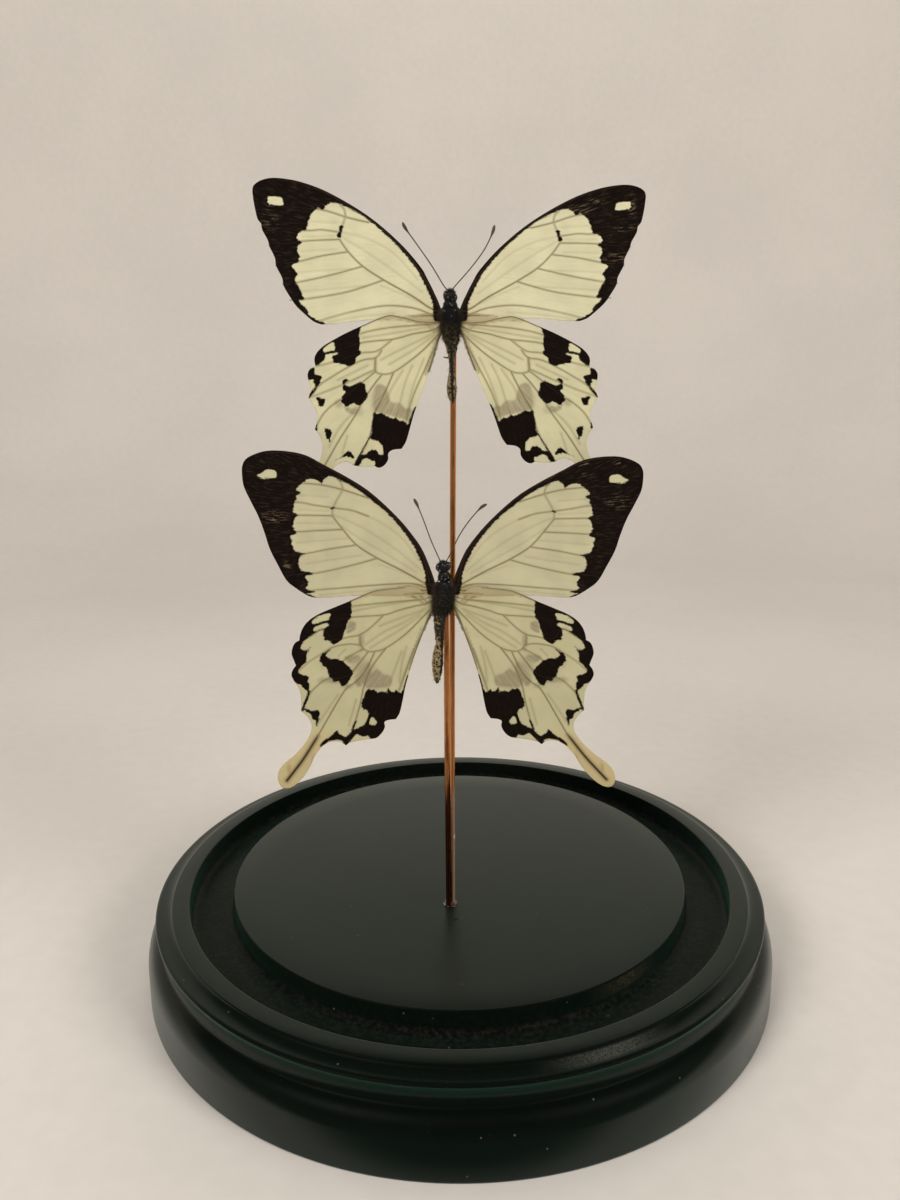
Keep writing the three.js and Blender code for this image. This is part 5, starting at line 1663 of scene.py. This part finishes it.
# ---- stage ----
class StageSettings(bpy.types.PropertyGroup):
    """Floor, light and camera."""
    floor: FloatVectorProperty(name="Floor", description="Pale floor and cove", subtype="COLOR",
                               default=(0.66, 0.62, 0.57), min=0, max=1)
    key: FloatProperty(name="Key light", description="Power of the key light", default=6.4,
                       unit="POWER")
    fill: FloatProperty(name="Fill light", description="Power of the fill light", default=4.9,
                        unit="POWER")
    backdrop: FloatProperty(name="Backdrop light", description="Power of the light on the backdrop",
                            default=2.6, unit="POWER")
    sky: FloatProperty(name="Surroundings", description="Strength of the light all round",
                       default=0.12)


CAMERA = {"place": (-1.75, -218.72, 142.79), "pitch": 12.736, "roll": -0.5214, "lens": 27.0}
OBJECT_MIDDLE = (0, 0.15, 0.13)
LIGHTS = [  # (name, size, place, target, colour), in metres. The power is the setting of that name.
    ("key", 0.35, (-0.5, -0.6, 0.6), OBJECT_MIDDLE, (1, 0.97, 0.94)),
    ("fill", 0.35, (0.6, -0.5, 0.5), OBJECT_MIDDLE, (1, 0.96, 0.92)),
    ("backdrop", 0.5, (0, 0.3, 1.0), (0, 0.8, 0.1), (1, 0.97, 0.92)),
]


def floor_material(color):
    """A dull pale floor, softly mottled."""
    material, tree, shader = new_material("Pale floor")
    mottle = grouped(tree, grain_group(), fine_scale=180.0, coarse_scale=6.0, fine_share=0.35)
    soft = ramp(tree, mottle, 0.35, 0.65)
    feed(tree, shader, {"Base Color": mixed(tree, soft, opaque(color), opaque(color, 0.94)),
                        "Roughness": 0.8})
    return material


def swept_floor():
    """A level floor that curves up into a wall on three sides and stays open to the front."""
    flat, wall, top, apron = 0.5, 0.95, 1.3, 2
    start, walled = -25, 230  # where the wall begins, and how far round it goes, in degrees
    runs = [
        ([(0, 0), (flat, 0)], start, 360),
        ([(flat, 0), *bend((flat, 0), (wall, 0), (wall, 0.45), 24), (wall, top)], start, walled),
        ([(flat, 0), (apron, 0)], start + walled, 360 - walled),
    ]
    floor = bmesh.new()
    for profile, start, sweep in runs:
        turn = Matrix.Rotation(math.radians(start), 3, "Z")
        spots = [floor.verts.new(turn @ Vector((radius, 0, height))) for radius, height in profile]
        edges = [floor.edges.new(pair) for pair in zip(spots[:-1], spots[1:])]
        bmesh.ops.spin(floor, geom=spots + edges, axis=(0, 0, 1), cent=(0, 0, 0), steps=sweep // 5,
                       angle=math.radians(sweep))
    bmesh.ops.remove_doubles(floor, verts=floor.verts, dist=1e-4)
    floor.normal_update()
    bmesh.ops.reverse_faces(floor, faces=[f for f in floor.faces if f.normal.z < -0.5 or
                                          f.calc_center_median().xy.dot(f.normal.xy) > 0.01])
    return floor


def area_light(name, power, size, place, target, color):
    """A square light that points at its target."""
    light = bpy.data.lights.new(name, "AREA")
    light.energy, light.size, light.color = power, size, color
    made = new_object(name, light)
    made.location = place
    made.rotation_euler = (Vector(target) - Vector(place)).to_track_quat("-Z", "Y").to_euler()


def add_camera():
    """The camera that looks down on the object from in front."""
    camera = bpy.data.cameras.new("camera")
    camera.lens = CAMERA["lens"]
    made = new_object("camera", camera)
    made.matrix_world = (Matrix.Translation(Vector(CAMERA["place"]) * MM)
                         @ Matrix.Rotation(math.radians(90 - CAMERA["pitch"]), 4, "X")
                         @ Matrix.Rotation(math.radians(CAMERA["roll"]), 4, "Z"))
    camera.clip_start, camera.clip_end = 0.01, 20
    bpy.context.scene.camera = made


class BuildStage(bpy.types.Operator):
    """Set the pale floor, soft lights and camera"""
    bl_idname = "butterflies.stage"
    bl_label = "Stage"

    def execute(self, context):
        settings = context.scene.butterfly_stage
        mesh = mesh_from(swept_floor(), "sweep")
        mesh.materials.append(floor_material(settings.floor))
        for face in mesh.polygons:
            face.use_smooth = True
        new_object("sweep", mesh)
        for name, size, place, target, color in LIGHTS:
            area_light(name, getattr(settings, name), size, place, target, color)
        world = bpy.data.worlds.new("surroundings")
        world.use_nodes = True
        feed(world.node_tree, world.node_tree.nodes["Background"],
             {"Color": (1, 0.97, 0.93, 1), "Strength": settings.sky})
        bpy.context.scene.world = world
        bpy.context.scene.view_settings.view_transform = "Standard"
        add_camera()
        return {"FINISHED"}


OPERATORS = [BuildStage, BuildBase, BuildRods, BuildWings, BuildBodies, BuildAntennae]
SETTINGS = {
    "butterfly_stage": StageSettings, "butterfly_base": BaseSettings,
    "butterfly_rods": RodSettings, "butterfly_wings": WingSettings,
    "butterfly_bodies": BodySettings, "butterfly_antennae": AntennaSettings,
}


class ButterflyPanel(bpy.types.Panel):
    """Buttons and settings for the mounted butterflies"""
    bl_idname = "VIEW3D_PT_butterflies"
    bl_label = "Mounted Butterflies"
    bl_space_type = "VIEW_3D"
    bl_region_type = "UI"
    bl_category = "Butterflies"

    def draw(self, context):
        for operator in OPERATORS:
            self.layout.operator(operator.bl_idname)
        for name, group in SETTINGS.items():
            box = self.layout.box()
            for label in group.__annotations__:
                box.prop(getattr(context.scene, name), label)


def register():
    for made in (*SETTINGS.values(), *OPERATORS, ButterflyPanel):
        bpy.utils.register_class(made)
    for name, group in SETTINGS.items():
        setattr(bpy.types.Scene, name, PointerProperty(type=group))


def unregister():
    for name in SETTINGS:
        delattr(bpy.types.Scene, name)
    for made in (ButterflyPanel, *reversed(OPERATORS), *SETTINGS.values()):
        bpy.utils.unregister_class(made)


def main():
    register()
    for operator in OPERATORS:
        group, call = operator.bl_idname.split(".")
        getattr(getattr(bpy.ops, group), call)()


if __name__ == "__main__":
    main()
